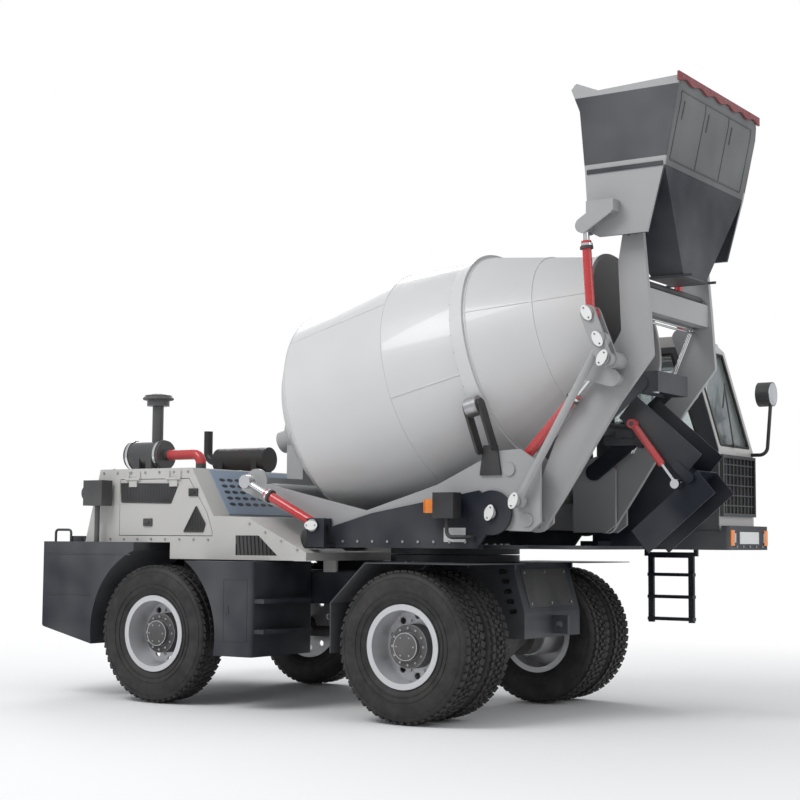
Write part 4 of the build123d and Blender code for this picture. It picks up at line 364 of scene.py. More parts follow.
def make_materials():
    """Make every finish of the mixer from the scene's colours."""
    colours = bpy.context.scene.mixer_colours
    dust = tuple(colours.dust)
    near_black = (0.012, 0.012, 0.014)

    def paint(name, colour, gloss, amount, mottle=3.0, **shader):
        """Make a worn paint."""
        settings = {"Paint": tuple(colour), "Dust": dust, "Dust Amount": amount, "Gloss": gloss,
                    "Mottle Scale": mottle}
        return finish_material(name, worn_paint_group, settings, **shader)

    def steel(name, metal, stain, amount, gloss, **shader):
        """Make a brushed steel."""
        settings = {"Metal": metal, "Stain": stain, "Stain Amount": amount, "Gloss": gloss}
        return finish_material(name, brushed_group, settings, **shader)

    def rubber(name, colour, amount, bump):
        """Make a dusty rubber."""
        settings = {"Rubber": tuple(colour), "Dust": dust, "Dust Amount": amount}
        return finish_material(name, rubber_group, settings, bump=bump)

    MATERIALS.update({
        "drum_white": paint("Drum paint", colours.drum, 0.30, 0.10, Coat_Weight=0.3),
        "hood_grey": paint("Hood paint", colours.hood, 0.32, 0.12, Coat_Weight=0.25),
        "frame_grey": paint("Frame paint", colours.arms, 0.36, 0.12, Coat_Weight=0.15),
        "structure_navy": paint("Chassis paint", colours.structure, 0.34, 0.03, Specular_IOR_Level=0.16),
        "bucket_front": zoned_material("Bucket front paint", (0.105, 0.11, 0.115), colours.structure,
                                       (0, -2, 3.745), (3, 2, 9), dust, 0.45, 0.03, Specular_IOR_Level=0.12),
        "pin_plate": paint("Pin plate", (0.82, 0.82, 0.81), 0.3, 0.05, Metallic=0.15),
        "mirror_glass": steel("Mirror glass", (0.75, 0.78, 0.80), (0.6, 0.62, 0.64), 0.05, 0.03, bump=0.0,
                              Metallic=1.0),
        "axle_dark": paint("Axle casting", (0.03, 0.03, 0.034), 0.55, 0.2, 6.0, bump=0.5),
        "grille_black": paint("Grille paint", (0.015, 0.015, 0.017), 0.45, 0.1, 8.0),
        "engine_iron": paint("Engine casting", (0.06, 0.06, 0.065), 0.6, 0.2, 9.0, bump=0.6),
        "black_plastic": paint("Black plastic", (0.02, 0.02, 0.022), 0.5, 0.1, 12.0, bump=0.4),
        "edge_red": paint("Edge paint", colours.edge, 0.35, 0.02, 14.0, bump=0.3, Specular_IOR_Level=0.2),
        "ram_red": paint("Cylinder paint", colours.cylinders, 0.25, 0.08, 8.0, Coat_Weight=0.5),
        "rim_silver": paint("Rim paint", colours.rims, 0.33, 0.08, 7.0, Metallic=0.35),
        "plate_white": paint("Blank plate", (0.75, 0.75, 0.74), 0.4, 0.1, 5.0),
        "bucket_side": zoned_material("Bucket side paint", colours.structure, colours.arms, (0, -2, 3.80),
                                      (3, 2, 4.275), dust, Specular_IOR_Level=0.35),
        "cab_paint": zoned_material("Cab paint", colours.structure, colours.hood, (0, 0.5, 0),
                                    (3, 0.885, 2.72), dust, 0.3, Coat_Weight=0.3),
        "intake_paint": zoned_material("Intake paint", colours.cylinders, (0.02, 0.02, 0.022),
                                       (-2.79, -1, 1.85), (-2.0, 0, 2.2), dust, 0.3, 0.06, Coat_Weight=0.3),
        "grille_paint": zoned_material("Grille paint two", (0.25, 0.32, 0.42), near_black,
                                       (-2.2, -0.9, 1.3), (-1.8, 0.9, 2.0), dust, 0.4),
        "exhaust_steel": steel("Exhaust steel", (0.045, 0.045, 0.047), (0.09, 0.06, 0.045), 0.4, 0.45,
                               Metallic=0.6),
        "roller_steel": steel("Roller steel", (0.45, 0.45, 0.46), (0.2, 0.15, 0.1), 0.5, 0.3, Metallic=0.9),
        "rod_chrome": steel("Rod chrome", (0.82, 0.82, 0.83), (0.5, 0.48, 0.45), 0.15, 0.08, bump=0.03,
                            Metallic=1.0),
        "bolt_zinc": steel("Zinc bolts", (0.42, 0.42, 0.43), (0.25, 0.17, 0.1), 0.4, 0.35, Metallic=0.8),
        "tyre": rubber("Tyre rubber", colours.rubber, 0.10, 0.3),
        "seal": rubber("Seal rubber", (0.012, 0.012, 0.013), 0.15, 0.2),
        "window_glass": glass_material(),
        "amber": lens_material("Amber lens", tuple(colours.amber)),
        "red_lens": lens_material("Red lens", tuple(colours.red_lens)),
        "clear_lens": lens_material("Clear lens", (0.7, 0.72, 0.72)),
    })


# ---------------------------------------------------------------- mesh helpers
def piece(name, mesh, material, body, smooth=False):
    """Make a finished piece from a bmesh, with its faces outwards, and let it ride on a body."""
    bmesh.ops.remove_doubles(mesh, verts=mesh.verts, dist=0.00002)
    bmesh.ops.recalc_face_normals(mesh, faces=mesh.faces)
    data = bpy.data.meshes.new(name)
    mesh.to_mesh(data)
    mesh.free()
    if smooth:
        data.shade_smooth()
        data.set_sharp_from_angle(angle=radians(35))
    data.materials.append(MATERIALS[material])
    made = bpy.data.objects.new(name, data)
    bpy.context.scene.collection.objects.link(made)
    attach(made, body)
    return made


def add_block(mesh, corner, opposite, bevel=0.0):
    """Add a box between two opposite corners, its edges softened."""
    low, high = (Vector([pick(pair) for pair in zip(corner, opposite)]) for pick in (min, max))
    made = bmesh.ops.create_cube(mesh, size=1.0)["verts"]
    size = high - low
    middle = (low + high) / 2
    for vertex in made:
        vertex.co = Vector(part * length for part, length in zip(vertex.co, size)) + middle
    if bevel:
        edges = {edge for vertex in made for edge in vertex.link_edges}
        bmesh.ops.bevel(mesh, geom=list(edges), offset=bevel, segments=2, affect="EDGES", profile=0.6)


def loft(mesh, rings, closed=False):
    """Lay faces between rings of places that follow each other, and close the ends of an open loft."""
    rings = [[mesh.verts.new(place) for place in ring] for ring in rings]
    for this, following in zip(rings, rings[1:] + rings[:1] if closed else rings[1:]):
        for step in range(len(this)):
            after = (step + 1) % len(this)
            mesh.faces.new((this[step], this[after], following[after], following[step]))
    if not closed:
        mesh.faces.new(rings[0][::-1])
        mesh.faces.new(rings[-1])


def add_prism(mesh, points, first_y, last_y):
    """Add an outline of X and Z places between two Y places."""
    loft(mesh, [[at(x, y, z) for x, z in points] for y in sorted((first_y, last_y), reverse=True)])


def turned(mesh, profile, centre, axis, segments=96):
    """Turn a closed profile of distance along an axis and radius round that axis."""
    axis = Vector(axis).normalized()
    first = axis.orthogonal().normalized()
    second = axis.cross(first)
    rings = []
    for step in range(segments):
        out = first * cos(tau * step / segments) + second * sin(tau * step / segments)
        rings.append([Vector(centre) + axis * along + out * radius for along, radius in profile])
    loft(mesh, rings, closed=True)


def add_rod(mesh, start, end, radius, segments=20):
    """Add a round bar with closed, softened ends."""
    start, end = Vector(start), Vector(end)
    length = (end - start).length
    soft = min(radius * 0.15, length * 0.2)
    profile = [(0.0, radius * 0.001), (0.0, radius - soft), (soft, radius), (length - soft, radius),
               (length, radius - soft), (length, radius * 0.001)]
    turned(mesh, profile, start, end - start, segments)


def add_outline(mesh, corners, radius, segments):
    """Add round bars from corner to corner of a closed outline."""
    for first, second in zip(corners, corners[1:] + corners[:1]):
        add_rod(mesh, first, second, radius, segments)


def add_pipe(mesh, points, radius, segments=14, bend=0.05):
    """Add a round pipe along a route with rounded corners."""
    points = [Vector(point) for point in points]
    route = [points[0]]
    for before, corner, after in zip(points, points[1:], points[2:]):
        reach = min(bend, (corner - before).length * 0.45, (after - corner).length * 0.45)
        enter = corner + (before - corner).normalized() * reach
        leave = corner + (after - corner).normalized() * reach
        for step in range(7):
            share = step / 6
            route.append(enter * (1 - share) ** 2 + corner * 2 * share * (1 - share) + leave * share ** 2)
    route.append(points[-1])
    side = (route[1] - route[0]).orthogonal().normalized()
    rings = []
    for step, place in enumerate(route):
        run = (route[min(step + 1, len(route) - 1)] - route[max(step - 1, 0)]).normalized()
        side = (side - run * side.dot(run)).normalized()
        other = run.cross(side)
        angles = [tau * s / segments for s in range(segments)]
        rings.append([place + (side * cos(angle) + other * sin(angle)) * radius for angle in angles])
    loft(mesh, rings)


# ---------------------------------------------------------------- geometry node trees
BOLT_INPUTS = (("Head Radius", NUMBER, 0.012), ("Head Height", NUMBER, 0.009), ("Turn", PLACE, (0, 0, 0)),
               ("Material", "NodeSocketMaterial", None))


def tree_start(name, *inputs):
    """Start a geometry tree with named sockets."""
    tree = bpy.data.node_groups.new(name, "GeometryNodeTree")
    for label, kind, value in inputs:
        socket = tree.interface.new_socket(name=label, in_out="INPUT", socket_type=kind)
        if value is not None:
            socket.default_value = value
    tree.interface.new_socket(name="Geometry", in_out="OUTPUT", socket_type="NodeSocketGeometry")
    return tree, tree.nodes.new("NodeGroupInput"), tree.nodes.new("NodeGroupOutput")


def tree_end(tree, given, result, source, output):
    """Realize the instances, set their material and put them out."""
    realize = tree.nodes.new("GeometryNodeRealizeInstances")
    coat = tree.nodes.new("GeometryNodeSetMaterial")
    join(tree, (source, output, realize, "Geometry"), (realize, "Geometry", coat, "Geometry"),
         (given, "Material", coat, "Material"), (coat, "Geometry", result, "Geometry"))
    return tree


def add_head(tree, given):
    """Add a hexagon head of the given size."""
    head = settle(tree.nodes.new("GeometryNodeMeshCylinder"), Vertices=6)
    join(tree, (given, "Head Radius", head, "Radius"), (given, "Head Height", head, "Depth"))
    return head


def bolt_ring_tree():
    """Hexagon heads on a circle that is turned and moved to its place."""
    tree, given, result = tree_start("Bolt ring", ("Count", "NodeSocketInt", 12), ("Radius", NUMBER, 0.2),
                                     ("Place", PLACE, (0, 0, 0)), *BOLT_INPUTS)
    circle = tree.nodes.new("GeometryNodeMeshCircle")
    spread = tree.nodes.new("GeometryNodeInstanceOnPoints")
    move = tree.nodes.new("GeometryNodeTransform")
    join(tree, (given, "Count", circle, "Vertices"), (given, "Radius", circle, "Radius"),
         (circle, "Mesh", spread, "Points"), (add_head(tree, given), "Mesh", spread, "Instance"),
         (spread, "Instances", move, "Geometry"), (given, "Place", move, "Translation"),
         (given, "Turn", move, "Rotation"))
    return tree_end(tree, given, result, move, "Geometry")


def bolt_row_tree():
    """Hexagon heads in a straight row between two places, turned to face outwards."""
    tree, given, result = tree_start("Bolt row", ("Count", "NodeSocketInt", 6), ("Start", PLACE, (0, 0, 0)),
                                     ("End", PLACE, (1, 0, 0)), *BOLT_INPUTS)
    row = tree.nodes.new("GeometryNodeMeshLine")
    row.mode = "END_POINTS"
    spread = tree.nodes.new("GeometryNodeInstanceOnPoints")
    join(tree, (given, "Count", row, "Count"), (given, "Start", row, "Start Location"),
         (given, "End", row, "Offset"), (row, "Mesh", spread, "Points"),
         (add_head(tree, given), "Mesh", spread, "Instance"), (given, "Turn", spread, "Rotation"))
    return tree_end(tree, given, result, spread, "Instances")


def tread_tree():
    """Lugs round a tyre's shoulder, each turned outwards and skewed like a tread."""
    tree, given, result = tree_start(
        "Tread row", ("Count", "NodeSocketInt", 44), ("Radius", NUMBER, 0.51),
        ("Lug Size", PLACE, (0.02, 0.03, 0.08)), ("Skew", NUMBER, 0.35), ("Lean", NUMBER, 0.0),
        ("Place", PLACE, (0, 0, 0)), ("Turn", PLACE, (0, 0, 0)), ("Material", "NodeSocketMaterial", None))
    circle, lug = tree.nodes.new("GeometryNodeMeshCircle"), tree.nodes.new("GeometryNodeMeshCube")
    skew, move = tree.nodes.new("GeometryNodeTransform"), tree.nodes.new("GeometryNodeTransform")
    pack = tree.nodes.new("ShaderNodeCombineXYZ")
    place = tree.nodes.new("GeometryNodeInputPosition")
    face = tree.nodes.new("FunctionNodeAlignRotationToVector")
    face.axis, face.pivot_axis = "X", "Z"
    spread = tree.nodes.new("GeometryNodeInstanceOnPoints")
    join(tree, (given, "Count", circle, "Vertices"), (given, "Radius", circle, "Radius"),
         (given, "Lug Size", lug, "Size"), (given, "Skew", pack, "X"), (given, "Lean", pack, "Y"),
         (lug, "Mesh", skew, "Geometry"), (pack, "Vector", skew, "Rotation"),
         (place, "Position", face, "Vector"), (circle, "Mesh", spread, "Points"),
         (skew, "Geometry", spread, "Instance"), (face, "Rotation", spread, "Rotation"),
         (spread, "Instances", move, "Geometry"), (given, "Place", move, "Translation"),
         (given, "Turn", move, "Rotation"))
    return tree_end(tree, given, result, move, "Geometry")


TREES = {}


def grow(mesh, make_tree, material, **settings):
    """Run a geometry node tree with its own settings and add the plain result to a bmesh."""
    if make_tree.__name__ not in TREES:
        TREES[make_tree.__name__] = make_tree()
    tree = TREES[make_tree.__name__]
    carrier = bpy.data.objects.new("carrier", bpy.data.meshes.new("carrier"))
    bpy.context.scene.collection.objects.link(carrier)
    modifier = carrier.modifiers.new("Grow", "NODES")
    modifier.node_group = tree
    named = {item.name: item.identifier for item in tree.interface.items_tree if item.in_out == "INPUT"}
    for label, value in settings.items():
        modifier[named[label.replace("_", " ")]] = tuple(value) if hasattr(value, "__len__") else value
    modifier[named["Material"]] = MATERIALS[material]
    bpy.context.view_layer.update()
    evaluated = carrier.evaluated_get(bpy.context.evaluated_depsgraph_get())
    result = bpy.data.meshes.new_from_object(evaluated)
    carrier.modifiers.remove(modifier)
    mesh.from_mesh(result)
    bpy.data.objects.remove(carrier)
    bpy.data.meshes.remove(result)


def bolt_ring(mesh, centre, axis, radius, count, scale=1.0):
    """Add a circle of bolt heads on a face whose normal is an axis."""
    sizes = bpy.context.scene.mixer_sizes
    axis = Vector(axis).normalized()
    turn = axis.to_track_quat("Z", "Y").to_euler()
    grow(mesh, bolt_ring_tree, "bolt_zinc", Count=count, Radius=radius, Head_Radius=sizes.bolt_radius * scale,
         Head_Height=sizes.bolt_height * 2 * scale, Place=Vector(centre), Turn=Vector(turn))


def bolt_row(mesh, start, end, axis, count, scale=1.0):
    """Add a row of bolt heads on a face whose normal is an axis."""
    sizes = bpy.context.scene.mixer_sizes
    turn = Vector(axis).normalized().to_track_quat("Z", "Y").to_euler()
    grow(mesh, bolt_row_tree, "bolt_zinc", Count=count, Start=Vector(start), End=Vector(end),
         Head_Radius=sizes.bolt_radius * scale, Head_Height=sizes.bolt_height * 2 * scale, Turn=Vector(turn))


# ---------------------------------------------------------------- operators
FLOOR_REACH = 60.0
FLOOR_DROP = 0.0005
FADE_FROM, FADE_TO = 3.2, 9.0
WORLD_STRENGTH = 0.62
LIGHT_AIM = Vector((0, 0, 1.8))
# Light: place, size and power
LIGHTS = (("Key", (-2.0, -8.0, 9.5), 5.0, 560.0), ("Fill", (9.0, 1.0, 6.0), 6.0, 150.0),
          ("Back", (-7.0, 6.0, 7.0), 5.0, 300.0))
# The camera's place, lens and angles, fitted to the photograph
CAMERA_PLACE = (6.1026, -10.4864, 1.2485)
CAMERA_LENS, CAMERA_SENSOR, CAMERA_CLIP = 73.14, 36.0, 200.0
CAMERA_YAW, CAMERA_PITCH, CAMERA_ROLL = radians(33.5025), radians(4.9146), radians(0.4173)


def choose_shader(tree, factor, first, second, target):
    """Mix two shaders by a factor, each given as a node and its output, and put them out."""
    choose = tree.nodes.new("ShaderNodeMixShader")
    join(tree, (*factor, choose, "Fac"), (*first, choose, 1), (*second, choose, 2),
         (choose, "Shader", tree.nodes[target], "Surface"))


def make_floor(scene):
    """Lay a pale floor that fades to white, for the camera only, where it gets far away."""
    floor = bpy.data.meshes.new("floor")
    corners = [(x * FLOOR_REACH, y * FLOOR_REACH, 0) for x, y in ((-1, -1), (1, -1), (1, 1), (-1, 1))]
    floor.from_pydata(corners, [], [(0, 1, 2, 3)])
    floor_object = bpy.data.objects.new("floor", floor)
    floor_object.location.z = -FLOOR_DROP
    scene.collection.objects.link(floor_object)
    material, tree, principled = new_material("Studio floor")
    settle(principled, Base_Color=(0.9, 0.9, 0.9, 1), Roughness=0.85)
    distance = tree.nodes.new("ShaderNodeVectorMath")
    distance.operation = "LENGTH"
    tree.links.new(object_place(tree), distance.inputs[0])
    fade = settle(tree.nodes.new("ShaderNodeMapRange"), From_Min=FADE_FROM, From_Max=FADE_TO)
    fade.interpolation_type = "SMOOTHSTEP"
    seen = tree.nodes.new("ShaderNodeMath")
    seen.operation = "MULTIPLY"
    join(tree, (distance, "Value", fade, "Value"), (fade, "Result", seen, 0),
         (tree.nodes.new("ShaderNodeLightPath"), "Is Camera Ray", seen, 1))
    white = settle(tree.nodes.new("ShaderNodeEmission"), Color=(1, 1, 1, 1))
    choose_shader(tree, (seen, "Value"), (principled, "BSDF"), (white, "Emission"), "Material Output")
    floor.materials.append(material)


def make_world(scene):
    """Light the scene softly from all sides, and show the camera a white background."""
    scene.world = bpy.data.worlds.new("Studio")
    scene.world.use_nodes = True
    tree = scene.world.node_tree
    light = settle(tree.nodes["Background"], Color=(0.95, 0.97, 1.0, 1), Strength=WORLD_STRENGTH)
    white = settle(tree.nodes.new("ShaderNodeBackground"), Color=(1, 1, 1, 1), Strength=1.0)
    ray, both = tree.nodes.new("ShaderNodeLightPath"), tree.nodes.new("ShaderNodeMath")
    both.operation = "MAXIMUM"
    join(tree, (ray, "Is Camera Ray", both, 0), (ray, "Is Transmission Ray", both, 1))
    choose_shader(tree, (both, "Value"), (light, "Background"), (white, "Background"), "World Output")


def make_camera(scene):
    """Set the camera at its fitted place and angles."""
    camera = bpy.data.cameras.new("Camera")
    camera.lens, camera.sensor_width, camera.clip_end = CAMERA_LENS, CAMERA_SENSOR, CAMERA_CLIP
    holder = bpy.data.objects.new("Camera", camera)
    forward = Vector((-sin(CAMERA_YAW) * cos(CAMERA_PITCH), cos(CAMERA_YAW) * cos(CAMERA_PITCH),
                      sin(CAMERA_PITCH)))
    level = forward.cross(Vector((0, 0, 1))).normalized()
    upright = level.cross(forward)
    right = level * cos(CAMERA_ROLL) + upright * sin(CAMERA_ROLL)
    up = upright * cos(CAMERA_ROLL) - level * sin(CAMERA_ROLL)
    holder.matrix_world = Matrix([(*row, place) for row, place in zip(
        zip(right, up, -forward), at(*CAMERA_PLACE))] + [(0, 0, 0, 1)])
    scene.collection.objects.link(holder)
    scene.camera = holder


class MIXER_OT_stage(bpy.types.Operator):
    """Make the floor, the soft studio light and the camera"""

    bl_idname = "mixer.stage"
    bl_label = "Stage"

    def execute(self, context):
        scene = context.scene
        scene.view_settings.view_transform = "Standard"
        make_floor(scene)
        make_world(scene)
        for name, place, size, power in LIGHTS:
            lamp = bpy.data.lights.new(name, "AREA")
            lamp.energy, lamp.size = power, size
            holder = bpy.data.objects.new(name, lamp)
            holder.location = place
            holder.rotation_euler = (LIGHT_AIM - Vector(place)).to_track_quat("-Z", "Y").to_euler()
            scene.collection.objects.link(holder)
        make_camera(scene)
        return {"FINISHED"}


class MIXER_OT_finishes(bpy.types.Operator):
    """Give every part of the frame its finish"""

    bl_idname = "mixer.finishes"
    bl_label = "Finishes"

    def execute(self, context):
        make_materials()
        slots = {entry["node"]: entry["material_slot"] for entry in frame["record"]["subparts"]}
        for node, part in frame["nodes"].items():
            part.data.materials.clear()
            part.data.materials.append(MATERIALS[REPAINTED.get(node, slots[node])])
        bucket = frame["nodes"]["bucket"].data
        bucket.materials.clear()
        bucket.materials.append(MATERIALS["structure_navy"])
        bucket.materials.append(MATERIALS["bucket_side"])
        bucket.materials.append(MATERIALS["bucket_front"])
        for polygon in bucket.polygons:
            across = abs(polygon.center.y - FRONT_AXLE.y)
            facing = polygon.normal.x > 0.6
            polygon.material_index = 1 if across > 0.69 else 2 if facing else 0
        return {"FINISHED"}


class MIXER_OT_tyres(bpy.types.Operator):
    """Turn the tyres and grow the tread lugs on them"""

    bl_idname = "mixer.tyres"
    bl_label = "Tyres and treads"

    def execute(self, context):
        sizes = context.scene.mixer_sizes
        casing = [(-0.096, 0.2585), (-0.104, 0.290), (-0.118, 0.306), (-0.134, 0.345), (-0.1415, 0.392),
                  (-0.142, 0.425), (-0.138, 0.458), (-0.128, 0.487), (-0.117, 0.500), (-0.100, 0.505),
                  (-0.058, 0.5085), (-0.054, 0.5005), (-0.044, 0.5005), (-0.040, 0.5095), (-0.006, 0.511),
                  (-0.003, 0.502)]
        casing = casing + [(-along, radius) for along, radius in reversed(casing)]
        for side_name, side in SIDES:
            groups = ((f"tyres_front_{side_name}", f"wheels_front_{side_name}", 0.0, (1.105, 0.775)),
                      (f"tyre_rear_{side_name}", f"wheel_rear_{side_name}", -WHEELBASE, (0.992,)))
            for node, body, wheel_x, tracks in groups:
                mesh = bmesh.new()
                for track in tracks:
                    centre = at(wheel_x, side * track, AXLE_HEIGHT)
                    turned(mesh, casing, centre, (0, 1, 0), 88)
                    for ring, wall in ((0.335, 0.1325), (0.372, 0.1395), (0.468, 0.1345)):
                        for along in (-wall, wall):
                            band = [(along - 0.003, ring - 0.003), (along - 0.003, ring + 0.003),
                                    (along + 0.003, ring + 0.003), (along + 0.003, ring - 0.003)]
                            turned(mesh, band, centre, (0, 1, 0), 72)
                    for row, skew, turn in ((-0.088, 0.30, 0.0), (0.088, -0.30, pi / sizes.lug_count),
                                            (-0.024, -0.55, 0.0), (0.024, 0.55, pi / sizes.lug_count)):
                        outer = abs(row) > 0.05
                        lug = (sizes.lug_height, sizes.lug_width * (1.0 if outer else 0.55),
                               sizes.lug_length * (0.66 if outer else 0.42))
                        grow(mesh, tread_tree, "tyre", Count=sizes.lug_count,
                             Radius=0.5135 - (0.006 if outer else 0.001), Lug_Size=lug, Skew=skew,
                             Lean=(-0.10 if row > 0 else 0.10) if outer else 0.0,
                             Place=centre + Vector((0, row, 0)), Turn=(pi / 2, turn, 0.0))
                tyre = piece(f"{node}_treaded", mesh, "tyre", body, smooth=True)
                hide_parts(node)
        return {"FINISHED"}


class MIXER_OT_wheel_trim(bpy.types.Operator):
    """Add the hub bolts and the rings on the rims"""

    bl_idname = "mixer.wheel_trim"
    bl_label = "Wheel trim"

    def execute(self, context):
        for side_name, side in SIDES:
            for body, wheel_x, track in ((f"wheels_front_{side_name}", 0.0, 1.105),
                                         (f"wheel_rear_{side_name}", -WHEELBASE, 0.992)):
                disc = at(wheel_x, side * (track - 0.08), AXLE_HEIGHT)
                centre = at(wheel_x, side * (track + 0.04), AXLE_HEIGHT)
                mesh = bmesh.new()
                bolt_ring(mesh, centre, (0, side, 0), 0.125, 12, 0.8)
                bolt_ring(mesh, centre + Vector((0, side * 0.04, 0)), (0, side, 0), 0.068, 6, 0.6)
                piece(f"hub_bolts_{body}", mesh, "bolt_zinc", body)
                mesh = bmesh.new()
                turned(mesh, [(-0.001, 0.151), (0.119, 0.151), (0.121, 0.147), (0.121, 0.100), (0.119, 0.096),
                              (-0.001, 0.096)], disc, (0, side, 0), 48)
                turned(mesh, [(0.119, 0.001), (0.119, 0.0965), (0.157, 0.0965), (0.162, 0.088),
                              (0.162, 0.001)], disc, (0, side, 0), 40)
                piece(f"hub_cover_{body}", mesh, "axle_dark", body, smooth=True)
        return {"FINISHED"}


# The drum turns on this axis; distances along it count from the place where its rear cone ends
DRUM_TILT = radians(14.15)
DRUM_AXIS = Vector((cos(DRUM_TILT), 0.0, sin(DRUM_TILT)))
DRUM_PLACE = at(-1.288, 0, 2.205)


class MIXER_OT_drum(bpy.types.Operator):
    """Turn the drum's skin with its weld seams, ring and blades"""

    bl_idname = "mixer.drum"
    bl_label = "Drum"

    def execute(self, context):
        origin = DRUM_PLACE
        outer = [(-0.300, 0.002), (-0.300, 0.340), (-0.294, 0.372), (-0.150, 0.700), (-0.080, 0.772),
                 (-0.020, 0.836), (0.0, 0.850), (0.020, 0.8515), (0.917, 0.876), (0.930, 0.875),
                 (1.480, 0.790), (1.480, 0.811), (1.481, 0.812), (1.579, 0.812), (1.580, 0.811),
                 (1.580, 0.790), (2.430, 0.500), (2.430, 0.516), (2.462, 0.516)]
        inner = [(2.462, 0.489), (2.430, 0.489), (1.530, 0.768), (0.917, 0.864), (0.012, 0.838),
                 (-0.070, 0.762), (-0.288, 0.360), (-0.288, 0.002)]
        mesh = bmesh.new()
        turned(mesh, outer + inner, origin, DRUM_AXIS, 128)
        turned(mesh, [(-0.390, 0.0602), (-0.390, 0.188), (-0.388, 0.190), (-0.298, 0.190), (-0.298, 0.0602)],
               origin, DRUM_AXIS, 64)
        drum = piece("drum_skin", mesh, "drum_white", "drum", smooth=True)
        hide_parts("drum_shell")
        mesh = bmesh.new()
        for along, radius in ((0.0, 0.8515), (0.917, 0.8775), (1.470, 0.7925), (1.590, 0.7875),
                              (2.05, 0.631)):
            turned(mesh, [(along - 0.006, radius - 0.002), (along - 0.003, radius + 0.002),
                          (along + 0.003, radius + 0.002), (along + 0.006, radius - 0.002)],
                   origin, DRUM_AXIS, 128)
        second = DRUM_AXIS.cross(Vector((0, 1, 0)))
        for start, end, first_angle, count in (((0.004, 0.851), (0.913, 0.877), 0.35, 3),
                                               ((0.921, 0.877), (1.472, 0.793), 1.25, 3),
                                               ((1.584, 0.7895), (2.425, 0.503), 0.7, 3),
                                               ((-0.145, 0.705), (-0.01, 0.842), 0.2, 8)):
            for step in range(count):
                angle = first_angle + tau * step / count
                out = Vector((0, 1, 0)) * cos(angle) + second * sin(angle)
                add_rod(mesh, origin + DRUM_AXIS * start[0] + out * start[1],
                        origin + DRUM_AXIS * end[0] + out * end[1], 0.0035, 8)
        piece("drum_seams", mesh, "drum_white", "drum", smooth=True)
        mesh = bmesh.new()
        for turn_start in (0.0, pi):
            rows = []
            for step in range(90):
                along = 0.10 + 2.28 * step / 89
                wall = 0.838 + (along / 0.917) * 0.026 if along < 0.917 else (
                    0.864 - (along - 0.917) * 0.1566 if along < 1.53 else 0.768 - (along - 1.53) * 0.310)
                angle = turn_start + along * 2.6
                out = Vector((0, 1, 0)) * cos(angle) + second * sin(angle)
                rows.append([origin + DRUM_AXIS * (along + half) + out * (wall - depth) for depth, half in (
                    (0.001, 0.004), (0.22, 0.004), (0.22, -0.004), (0.001, -0.004))])
            loft(mesh, rows)
        piece("drum_blades", mesh, "roller_steel", "drum", smooth=True)
        mesh = bmesh.new()
        bolt_ring(mesh, origin + DRUM_AXIS * -0.3, -DRUM_AXIS, 0.26, 16, 1.2)
        bolt_ring(mesh, origin + DRUM_AXIS * 1.480, -DRUM_AXIS, 0.801, 40, 0.7)
        piece("drum_bolts", mesh, "bolt_zinc", "drum")
        return {"FINISHED"}


def inside(outline, x, z):
    """Say whether a place lies inside an outline."""
    found = False
    for step, (x1, z1) in enumerate(outline):
        x2, z2 = outline[step - 1]
        if (z1 > z) != (z2 > z) and x < (x2 - x1) * (z - z1) / (z2 - z1) + x1:
            found = not found
    return found


